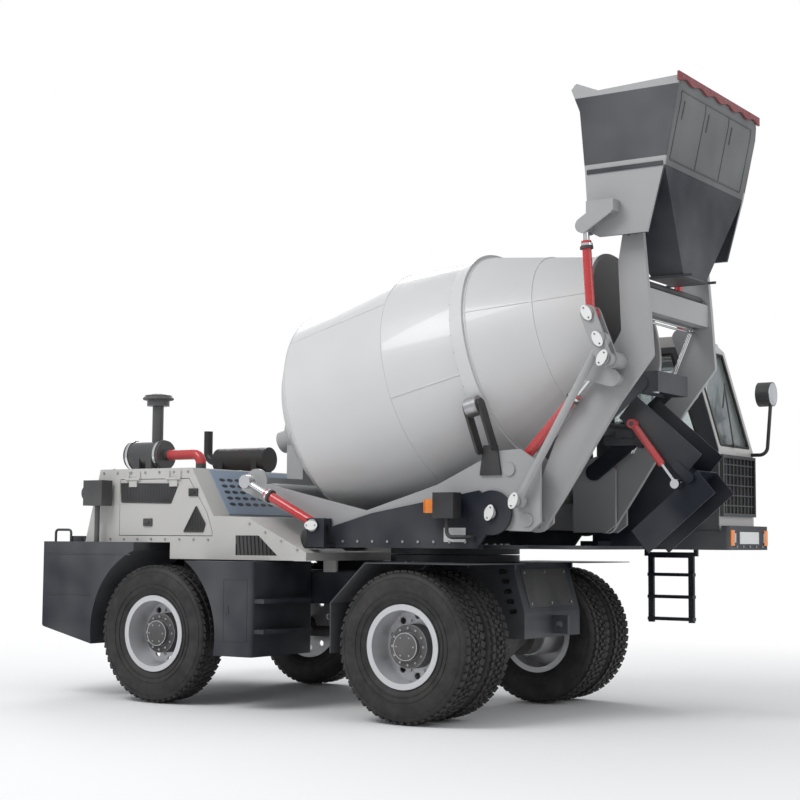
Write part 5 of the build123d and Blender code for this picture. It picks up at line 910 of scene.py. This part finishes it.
class MIXER_OT_hood_trim(bpy.types.Operator):
    """Add the vents, latches, seams and bolts of the hood and its doors"""

    bl_idname = "mixer.hood_trim"
    bl_label = "Hood trim"

    def execute(self, context):
        pitch = context.scene.mixer_sizes.slat_pitch
        vents = ([(-2.85, 1.675), (-2.26, 1.665), (-2.33, 1.52), (-2.84, 1.53)],
                 [(-2.19, 1.30), (-2.07, 1.49), (-1.98, 1.36), (-2.00, 1.30)])
        for side_name, side in SIDES:
            body = f"hood_door_{side_name}"
            face = side * HOOD_FACE
            mesh = bmesh.new()
            bars = bmesh.new()
            for outline in vents:
                add_prism(mesh, outline, face - side * 0.001, face + side * 0.002)
                left, right = min(p[0] for p in outline), max(p[0] for p in outline)
                foot, top = min(p[1] for p in outline), max(p[1] for p in outline)
                step_x = left + pitch
                while step_x < right:
                    run = [foot + (top - foot) * part / 60 for part in range(61)]
                    run = [z for z in run if inside(outline, step_x, z)]
                    if len(run) > 2:
                        add_block(bars, at(step_x - pitch * 0.2, face, run[0]),
                                  at(step_x + pitch * 0.2, face + side * 0.005, run[-1]))
                    step_x += pitch
                add_outline(bars, [at(x, face + side * 0.003, z) for x, z in outline], 0.006, 8)
            piece(f"vent_backs_{side_name}", mesh, "grille_black", body)
            piece(f"vent_bars_{side_name}", bars, "grille_black", body)
            mesh = bmesh.new()
            for x, z in ((-2.56, 1.37), (-2.10, 1.60)):
                add_block(mesh, at(x - 0.045, face, z - 0.03),
                          at(x + 0.045, face + side * 0.012, z + 0.03), 0.004)
                add_block(mesh, at(x - 0.035, face + side * 0.012, z - 0.008),
                          at(x + 0.02, face + side * 0.024, z + 0.008), 0.003)
            piece(f"door_latches_{side_name}", mesh, "black_plastic", body, smooth=True)
        mesh = bmesh.new()
        for side in (-1, 1):
            face = side * HOOD_FACE
            bolt_row(mesh, at(-3.10, face, 1.24), at(-1.95, face, 1.24), (0, side, 0), 9, 0.8)
            bolt_row(mesh, at(-3.04, face, 1.76), at(-2.16, face, 1.76), (0, side, 0), 7, 0.8)
            bolt_row(mesh, at(-1.55, face, 1.36), at(-1.10, face, 1.17), (0, side, 0), 4, 0.8)
        bolt_row(mesh, at(-2.98, -0.90, HOOD_TOP), at(-2.98, 0.90, HOOD_TOP), (0, 0, 1), 8, 0.8)
        piece("hood_bolts", mesh, "bolt_zinc", "chassis")
        holes = bmesh.new()
        down = Vector((0.221, 0, -0.371)).normalized()
        out = Vector((0.371, 0, 0.221)).normalized()
        for row in range(5):
            for column in range(-7, 8):
                centre = at(-2.0101, column * 0.095, 1.6045) + down * (0.055 * (row - 2)) + out * 0.0083
                rim = [centre + Vector((0, 1, 0)) * 0.036 * cos(tau * s / 20)
                       + down * 0.0145 * sin(tau * s / 20) for s in range(20)]
                top = [holes.verts.new(place + out * 0.0012) for place in rim]
                foot = [holes.verts.new(place) for place in rim]
                holes.faces.new(top)
                for s in range(20):
                    holes.faces.new((foot[s], foot[(s + 1) % 20], top[(s + 1) % 20], top[s]))
        piece("screen_holes", holes, "grille_black", "chassis")
        bands = bmesh.new()
        for along in (-3.176, -2.878):
            turned(bands, [(along, 0.120), (along, 0.1245), (along + 0.024, 0.1245), (along + 0.024, 0.120)],
                   at(0, *FILTER_AXIS), (1, 0, 0), 56)
        piece("filter_bands", bands, "rod_chrome", "chassis", smooth=True)
        cowl = bmesh.new()
        turned(cowl, [(2.380, 0.001), (2.380, 0.120), (2.386, 0.1275), (2.396, 0.126), (2.409, 0.112),
                      (2.422, 0.084), (2.430, 0.045), (2.433, 0.001)],
               at(-2.930, FILTER_AXIS[0], 0), (0, 0, 1), 56)
        piece("intake_cowl", cowl, "black_plastic", "chassis", smooth=True)
        mesh = bmesh.new()
        for y in (-0.30, 0.30):
            add_rod(mesh, at(-3.06, y, HOOD_TOP + 0.0015), at(-2.16, y, HOOD_TOP + 0.0015), 0.004, 8)
        piece("hood_seams", mesh, "hood_grey", "chassis", smooth=True)
        return {"FINISHED"}


class MIXER_OT_lamps(bpy.types.Operator):
    """Add the lenses, reflectors and blank plates"""

    bl_idname = "mixer.lamps"
    bl_label = "Lamps and plates"

    def execute(self, context):
        amber, red, clear, plates = bmesh.new(), bmesh.new(), bmesh.new(), bmesh.new()
        for y, clear_y in ((0.905, 0.9595), (1.575, 1.5445)):
            add_block(amber, at(BUMPER_FACE, y - 0.036, 1.222),
                      at(BUMPER_FACE + 0.009, y + 0.036, 1.338), 0.003)
            add_block(clear, at(BUMPER_FACE, clear_y - 0.0125, 1.245),
                      at(BUMPER_FACE + 0.007, clear_y + 0.0125, 1.315), 0.001)
        add_block(plates, at(BUMPER_FACE, 1.05, 1.235), at(BUMPER_FACE + 0.006, 1.43, 1.325), 0.001)
        glass = bmesh.new()
        for facing, face in ((-1, 0.050), (1, 0.0615)):
            turned(glass, [(face + 0.002, 0.0005), (face + 0.002, 0.086), (face, 0.089), (face, 0.0005)],
                   at(1.500, 1.640, 2.400), (facing, 0, 0), 48)
        piece("mirror_glass", glass, "mirror_glass", "turret", smooth=True)
        piece("bumper_amber", amber, "amber", "turret", smooth=True)
        piece("bumper_clear", clear, "clear_lens", "turret", smooth=True)
        work = bmesh.new()
        add_block(work, at(-0.066, -0.862, 1.438), at(-0.056, -0.788, 1.532), 0.005)
        add_block(work, at(-0.056, -0.8585, 1.436), at(0.018, -0.7915, 1.534), 0.005)
        piece("work_lamp_lens", work, "amber", "turret", smooth=True)
        rear_amber = bmesh.new()
        for side in (-1, 1):
            turned(red, [(-3.146, 0.002), (-3.146, 0.052), (-3.139, 0.056), (-3.139, 0.002)],
                   at(0, side * 1.04, 1.60), (1, 0, 0), 32)
            turned(rear_amber, [(-3.143, 0.002), (-3.143, 0.022), (-3.139, 0.024), (-3.139, 0.002)],
                   at(0, side * 1.04, 1.525), (1, 0, 0), 24)
            add_block(red, at(-3.6865, side * 0.74 - 0.05, 0.98), at(-3.680, side * 0.74 + 0.05, 1.03), 0.002)
        piece("rear_red", red, "red_lens", "chassis", smooth=True)
        piece("rear_amber", rear_amber, "amber", "chassis", smooth=True)
        add_block(plates, at(0.02, -0.7285, 1.235), at(0.20, -0.7245, 1.335), 0.002)
        piece("turret_plates", plates, "plate_white", "turret", smooth=True)
        return {"FINISHED"}


class MIXER_OT_cab_trim(bpy.types.Operator):
    """Add the window seals, handles, wiper and roof lamp of the cab"""

    bl_idname = "mixer.cab_trim"
    bl_label = "Cab trim"

    def execute(self, context):
        width = context.scene.mixer_sizes.seal_width
        shell, door = bmesh.new(), bmesh.new()

        def seal(mesh, corners):
            """Lay rubber round a window."""
            add_outline(mesh, corners, width / 2, 10)

        side_window = ((0.56, 1.96), (0.56, 2.67), (1.05, 2.67), (1.28, 1.96))
        seal(shell, [at(x, 0.872, z) for x, z in side_window])
        run = Vector((1.19 - 1.42, 0, 2.74 - 1.94))
        out = Vector((run.z, 0, -run.x)).normalized()
        middle = Vector((1.305, 1.22, 2.34))
        half = run.normalized() * (run.length - 0.07) / 2
        seal(shell, [at(*(middle + half + Vector((0, y, 0)) - out * 0.002)) for y in (-0.28, 0.28)]
             + [at(*(middle - half + Vector((0, y, 0)) - out * 0.002)) for y in (0.28, -0.28)])
        seal(shell, [at(0.421, y, z) for y, z in ((0.94, 1.96), (1.50, 1.96), (1.50, 2.67), (0.94, 2.67))])
        piece("cab_seals", shell, "seal", "turret", smooth=True)
        seal(door, [at(x, 1.569, z) for x, z in ((0.57, 1.96), (0.57, 2.63), (1.06, 2.63), (1.06, 1.96))])
        piece("door_seal", door, "seal", "cab_door", smooth=True)
        handle = bmesh.new()
        grip = ((1.568, 1.86), (1.608, 1.86), (1.608, 1.70), (1.568, 1.70))
        add_pipe(handle, [at(1.04, y, z) for y, z in grip], 0.009, bend=0.02)
        add_block(handle, at(0.60, 1.568, 1.46), at(1.08, 1.574, 1.50), 0.002)
        piece("door_handle", handle, "black_plastic", "cab_door", smooth=True)
        wiper = bmesh.new()
        foot = middle - half + Vector((0, -0.05, 0)) + out * 0.012
        tip = middle + half * 0.35 + Vector((0, 0.12, 0)) + out * 0.014
        add_rod(wiper, at(*foot), at(*tip), 0.006, 8)
        across = (tip - foot).normalized()
        add_rod(wiper, at(*(tip - across * 0.22 + Vector((0, -0.10, 0)))), at(*(tip + Vector((0, 0.02, 0)))),
                0.007, 8)
        add_rod(wiper, at(*(foot - out * 0.012)), at(*(foot + out * 0.012)), 0.016, 14)
        piece("wiper", wiper, "black_plastic", "turret", smooth=True)
        roof = bmesh.new()
        for y in (0.98, 1.46):
            add_rod(roof, at(1.10, y, 2.76), at(1.17, y, 2.76), 0.042, 24)
            add_block(roof, at(1.09, y - 0.012, 2.72), at(1.12, y + 0.012, 2.80), 0.003)
        piece("cab_lamps", roof, "black_plastic", "turret", smooth=True)
        lens = bmesh.new()
        for y in (0.98, 1.46):
            add_rod(lens, at(1.168, y, 2.76), at(1.176, y, 2.76), 0.037, 24)
        piece("cab_lamp_lenses", lens, "clear_lens", "turret", smooth=True)
        backing = bmesh.new()
        add_block(backing, at(1.4205, 0.919, 1.465), at(1.427, 1.521, 1.875))
        piece("guard_backing", backing, "grille_black", "turret")
        rail = bmesh.new()
        grip = ((1.57, 1.62), (1.612, 1.62), (1.612, 2.32), (1.57, 2.32))
        add_pipe(rail, [at(0.45, y, z) for y, z in grip], 0.011, bend=0.03)
        piece("grab_rail", rail, "black_plastic", "turret", smooth=True)
        bolts = bmesh.new()
        bolt_row(bolts, at(BUMPER_FACE + 0.002, 0.98, 1.215), at(BUMPER_FACE + 0.002, 1.50, 1.215),
                 (1, 0, 0), 5, 0.9)
        piece("bumper_bolts", bolts, "bolt_zinc", "turret")
        return {"FINISHED"}


class MIXER_OT_pin_trim(bpy.types.Operator):
    """Add the bolted caps on the pins, and the oil pipes along the arms"""

    bl_idname = "mixer.pin_trim"
    bl_label = "Pins and pipes"

    def execute(self, context):
        pipe_radius = context.scene.mixer_sizes.pipe_radius
        tables = (("turret", 0.737, ((0.405, 1.440),)), ("turret", 0.865, ((-1.030, 1.350),)),
                  ("arms", 0.812, ((1.310, 2.460),)), ("drum_frame", 0.800, ((0.630, 1.520),)),
                  ("cranks", 0.800, ((1.270, 2.590), (1.190, 2.770))),
                  ("arms", 0.555, ((0.670, 1.390), (1.410, 3.370))))
        for number, (body, face, places) in enumerate(tables):
            mesh, bolts = bmesh.new(), bmesh.new()
            for x, z in places:
                for side in (-1, 1):
                    if face > 0.6:
                        turned(mesh, [(0.0, 0.001), (0.0, 0.044), (0.003, 0.047), (0.009, 0.047),
                                      (0.012, 0.044), (0.012, 0.001)],
                               at(x, side * face, z), (0, side, 0), 32)
                        bolt_ring(bolts, at(x, side * (face + 0.012), z), (0, side, 0), 0.028, 3, 0.6)
                    else:
                        bolt_ring(bolts, at(x, side * face, z), (0, side, 0), 0.058, 6, 0.7)
            if len(mesh.verts):
                piece(f"pin_caps_{number}", mesh, "roller_steel", body, smooth=True)
            else:
                mesh.free()
            piece(f"pin_bolts_{number}", bolts, "bolt_zinc", body)
        plates = {"arms": ((1.310, 2.460, 0.830, 60),),
                  "cranks": ((1.270, 2.590, 0.815, -60), (1.190, 2.770, 0.815, -60)),
                  "drum_frame": ((0.630, 1.520, 0.815, 70),),
                  "turret": ((0.405, 1.440, 0.752, 70), (-1.030, 1.350, 0.880, 0))}
        for body, entries in plates.items():
            mesh, bolts = bmesh.new(), bmesh.new()
            for x, z, face, lean in entries:
                run = Vector((cos(radians(lean)), 0, sin(radians(lean))))
                over = Vector((-run.z, 0, run.x))
                outline = [(Vector((x, 0, z)) + run * 0.058 * cos(tau * s / 28)
                            + over * 0.034 * sin(tau * s / 28)).xz for s in range(28)]
                for side in (-1, 1):
                    add_prism(mesh, outline, side * face, side * (face + 0.006))
                    for end in (-0.038, 0.038):
                        bolt_ring(bolts, at(x, side * (face + 0.006), z) + run * end, (0, side, 0),
                                  0.0005, 3, 0.45)
            piece(f"pin_plates_{body}", mesh, "pin_plate", body)
            piece(f"pin_plate_bolts_{body}", bolts, "bolt_zinc", body)
        for body, foot, head, length, y, radius in (
                ("curl_barrels", (1.190, 2.770), (1.150, 3.370), 0.500, 0.750, 0.0455),
                ("lift_barrels", (0.530, 1.740), (1.140, 2.385), 0.700, 0.610, 0.0505),
                ("tilt_barrels", (-1.030, 1.350), (-1.700, 1.680), 0.540, 0.800, 0.0505)):
            black, bright = bmesh.new(), bmesh.new()
            run = Vector((head[0] - foot[0], 0, head[1] - foot[1])).normalized()
            for side in (-1, 1):
                base = at(foot[0], side * y, foot[1])
                turned(black, [(0.0, 0.022), (0.0, radius), (0.018, radius), (0.018, 0.022)],
                       base + run * (length - 0.055), run, 40)
                turned(bright, [(0.0, 0.022), (0.0, radius - 0.002), (0.016, radius - 0.002), (0.016, 0.022)],
                       base + run * (length - 0.035), run, 40)
            piece(f"{body}_collars", black, "black_plastic", body, smooth=True)
            piece(f"{body}_glands", bright, "rod_chrome", body, smooth=True)
        pipes = bmesh.new()
        for side in (-1, 1):
            for step in range(2):
                y = side * (0.505 - step * 0.030)
                add_pipe(pipes, [at(0.90, y, 1.90), at(1.06, y, 2.14), at(1.24, y, 2.46), at(1.385, y, 2.79)],
                         pipe_radius, bend=0.06)
            for x, z in ((1.00, 2.05), (1.20, 2.39)):
                add_block(pipes, at(x - 0.012, side * 0.462, z - 0.014),
                          at(x + 0.012, side * 0.516, z + 0.014), 0.003)
        for z in (2.775, 2.750):
            add_rod(pipes, at(1.42, -0.50, z), at(1.42, 0.50, z), pipe_radius, 12)
        piece("arm_pipes", pipes, "rod_chrome", "arms", smooth=True)
        cross = bmesh.new()
        add_rod(cross, at(1.43, -0.514, 3.00), at(1.43, 0.514, 3.00), 0.028, 24)
        piece("cross_tube", cross, "black_plastic", "arms", smooth=True)
        return {"FINISHED"}


class MIXER_OT_bucket_trim(bpy.types.Operator):
    """Add the bucket's ribs, edge bolts and gate rails"""

    bl_idname = "mixer.bucket_trim"
    bl_label = "Bucket trim"

    def execute(self, context):
        ribs = bmesh.new()

        def on_front(z, out):
            """Give the place on the sloping front wall at a height, standing out from it."""
            return (1.705 + (z - 3.740) * 0.2227 if z < 4.18 else 1.803 + (z - 4.18) * 0.08) + out

        def strip(mesh, y0, y1, z0, z1, thick=0.003):
            """Lay a thin strip on the front wall."""
            add_prism(mesh, [(on_front(z, out), z) for z, out in (
                (z0, -0.002), (z0, thick), (z1, thick), (z1, -0.002))], y0, y1)

        grooves = bmesh.new()
        walls = (-0.63, -0.22, 0.19, 0.60)
        for y in walls:
            strip(grooves, y - 0.005, y + 0.005, 3.79, 4.18)
            strip(grooves, y - 0.005, y + 0.005, 4.18, 4.235)
        for y0, y1 in zip(walls, walls[1:]):
            strip(grooves, y0, y1, 4.233, 4.243)
            strip(grooves, y0, y1, 3.782, 3.792)
            strip(grooves, y0 + 0.055, y0 + 0.072, 4.06, 4.18, 0.004)
        piece("bucket_grooves", grooves, "grille_black", "bucket")
        for side in (-1, 1):
            add_prism(ribs, [(1.14, 3.735), (1.14, 3.765), (1.70, 3.765), (1.70, 3.735)],
                      side * BUCKET_FACE, side * (BUCKET_FACE + 0.0075))
        for y in (-0.207, 0.207):
            add_block(ribs, at(1.31, y - 0.005, 3.064), at(1.69, y + 0.005, 3.082), 0.001)
        piece("bucket_ribs", ribs, "structure_navy", "bucket")
        bolts = bmesh.new()
        bolt_row(bolts, at(EDGE_FACE, -0.66, 4.325), at(EDGE_FACE, 0.66, 4.325), (1, 0, 0), 12, 0.45)
        piece("edge_bolts", bolts, "bolt_zinc", "bucket")
        edge = bmesh.new()
        outline = [(-0.7205, 4.350)]
        for step in range(97):
            share = step / 96
            outline.append((-0.7205 + 1.441 * share, 4.302 - 0.012 * cos(tau * share * 6)))
        outline.append((0.7205, 4.350))
        loft(edge, [[at(x, y, z) for y, z in outline] for x in (EDGE_FACE - 0.015, EDGE_FACE)])
        cutting_edge = piece("cutting_edge", edge, "edge_red", "bucket")
        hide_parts("bucket_edge")
        return {"FINISHED"}


class MIXER_OT_body_trim(bpy.types.Operator):
    """Add the slewing ring's bolts, tread plates, tank seams, latches and rails"""

    bl_idname = "mixer.body_trim"
    bl_label = "Body trim"

    def execute(self, context):
        lower, upper, cover = bmesh.new(), bmesh.new(), bmesh.new()
        box_top, slope = Vector((0.400, 0, 1.090)), Vector((0.100, 0, -0.350))
        out = Vector((0.350, 0, 0.100)).normalized()
        add_prism(cover, [(box_top + slope * share + out * rise).xz for share, rise in (
            (0.13, 0.0005), (0.13, 0.006), (0.90, 0.006), (0.90, 0.0005))], -0.330, 0.330)
        piece("box_cover", cover, "grille_black", "chassis")
        for share in (0.20, 0.83):
            foot = at(*box_top) + slope * share + out * 0.006
            bolt_row(lower, foot + Vector((0, -0.30, 0)), foot + Vector((0, 0.30, 0)), tuple(out), 3, 0.9)
        bolt_ring(lower, at(SLEW_X, 0, 1.090), (0, 0, -1), 0.462, 36, 0.9)
        piece("ring_bolts_low", lower, "bolt_zinc", "chassis")
        bolt_ring(upper, at(SLEW_X, 0, 1.215), (0, 0, 1), 0.40, 30, 1.0)
        for side in (-1, 1):
            bolt_row(upper, at(-0.85, side * 0.725, 1.235), at(0.20, side * 0.725, 1.235),
                     (0, side, 0), 9, 0.9)
        piece("turret_bolts", upper, "bolt_zinc", "turret")
        tread = bmesh.new()
        for side in (-1, 1):
            for tread_z in (0.59, 0.81):
                for column in range(10):
                    for row in range(2):
                        x, y = -1.325 + row * 0.036, 0.60 + column * 0.055
                        add_block(tread, at(x, side * y, tread_z - 0.001),
                                  at(x + 0.012, side * (y + 0.030), tread_z + 0.0035))
        piece("tread_plates", tread, "structure_navy", "chassis")
        seams = bmesh.new()
        for side in (-1, 1):
            face = side * 1.180
            door = ((-1.60, 0.50), (-1.38, 0.50), (-1.38, 0.95), (-1.60, 0.95))
            add_outline(seams, [at(x, face, z) for x, z in door], 0.004, 8)
            add_block(seams, at(-1.58, face, 0.695), at(-1.55, face + side * 0.004, 0.755), 0.001)
            tank = side * 1.100
            add_rod(seams, at(-3.50, tank, 1.12), at(-2.60, tank, 1.12), 0.005, 8)
            add_rod(seams, at(-3.50, tank, 0.80), at(-3.02, tank, 0.80), 0.005, 8)
        add_rod(seams, at(-3.684, -0.86, 1.12), at(-3.684, 0.86, 1.12), 0.005, 8)
        piece("body_seams", seams, "structure_navy", "chassis", smooth=True)
        rails = bmesh.new()
        for side in (-1, 1):
            hoop = ((-3.35, 1.214), (-3.35, 1.31), (-3.52, 1.31), (-3.52, 1.214))
            add_pipe(rails, [at(x, side * 0.99, z) for x, z in hoop], 0.010, bend=0.03)
        piece("tank_rails", rails, "structure_navy", "chassis", smooth=True)
        latch = bmesh.new()
        add_block(latch, at(-3.30, -0.62, 1.2155), at(-3.18, -0.56, 1.245), 0.006)
        add_rod(latch, at(-3.29, -0.59, 1.255), at(-3.17, -0.59, 1.255), 0.010, 12)
        piece("tank_latch", latch, "ram_red", "chassis", smooth=True)
        return {"FINISHED"}


OPERATORS = (MIXER_OT_stage, MIXER_OT_finishes, MIXER_OT_tyres, MIXER_OT_wheel_trim, MIXER_OT_drum,
             MIXER_OT_hood_trim, MIXER_OT_lamps, MIXER_OT_cab_trim, MIXER_OT_pin_trim, MIXER_OT_bucket_trim,
             MIXER_OT_body_trim)


class MIXER_PT_panel(bpy.types.Panel):
    """Sidebar list of the mixer's steps, sizes and colours"""

    bl_idname = "MIXER_PT_panel"
    bl_label = "Concrete mixer"
    bl_space_type = "VIEW_3D"
    bl_region_type = "UI"
    bl_category = "Mixer"

    def draw(self, context):
        for step in OPERATORS:
            self.layout.operator(step.bl_idname)
        for group in (context.scene.mixer_sizes, context.scene.mixer_colours):
            for name in group.__annotations__:
                self.layout.prop(group, name)


CLASSES = (MixerSizes, MixerColours, *OPERATORS, MIXER_PT_panel)


def register():
    """Register the classes, and give every scene its sizes and colours."""
    for entry in CLASSES:
        bpy.utils.register_class(entry)
    bpy.types.Scene.mixer_sizes = bpy.props.PointerProperty(type=MixerSizes)
    bpy.types.Scene.mixer_colours = bpy.props.PointerProperty(type=MixerColours)


def unregister():
    """Take back what register() did."""
    del bpy.types.Scene.mixer_colours
    del bpy.types.Scene.mixer_sizes
    for entry in reversed(CLASSES):
        bpy.utils.unregister_class(entry)


def main():
    """Dress the mixer."""
    register()
    for step in OPERATORS:
        group, name = step.bl_idname.split(".")
        if getattr(getattr(bpy.ops, group), name)() != {"FINISHED"}:
            raise RuntimeError(f"{step.bl_label} did not finish")


if __name__ == "__main__":
    main()
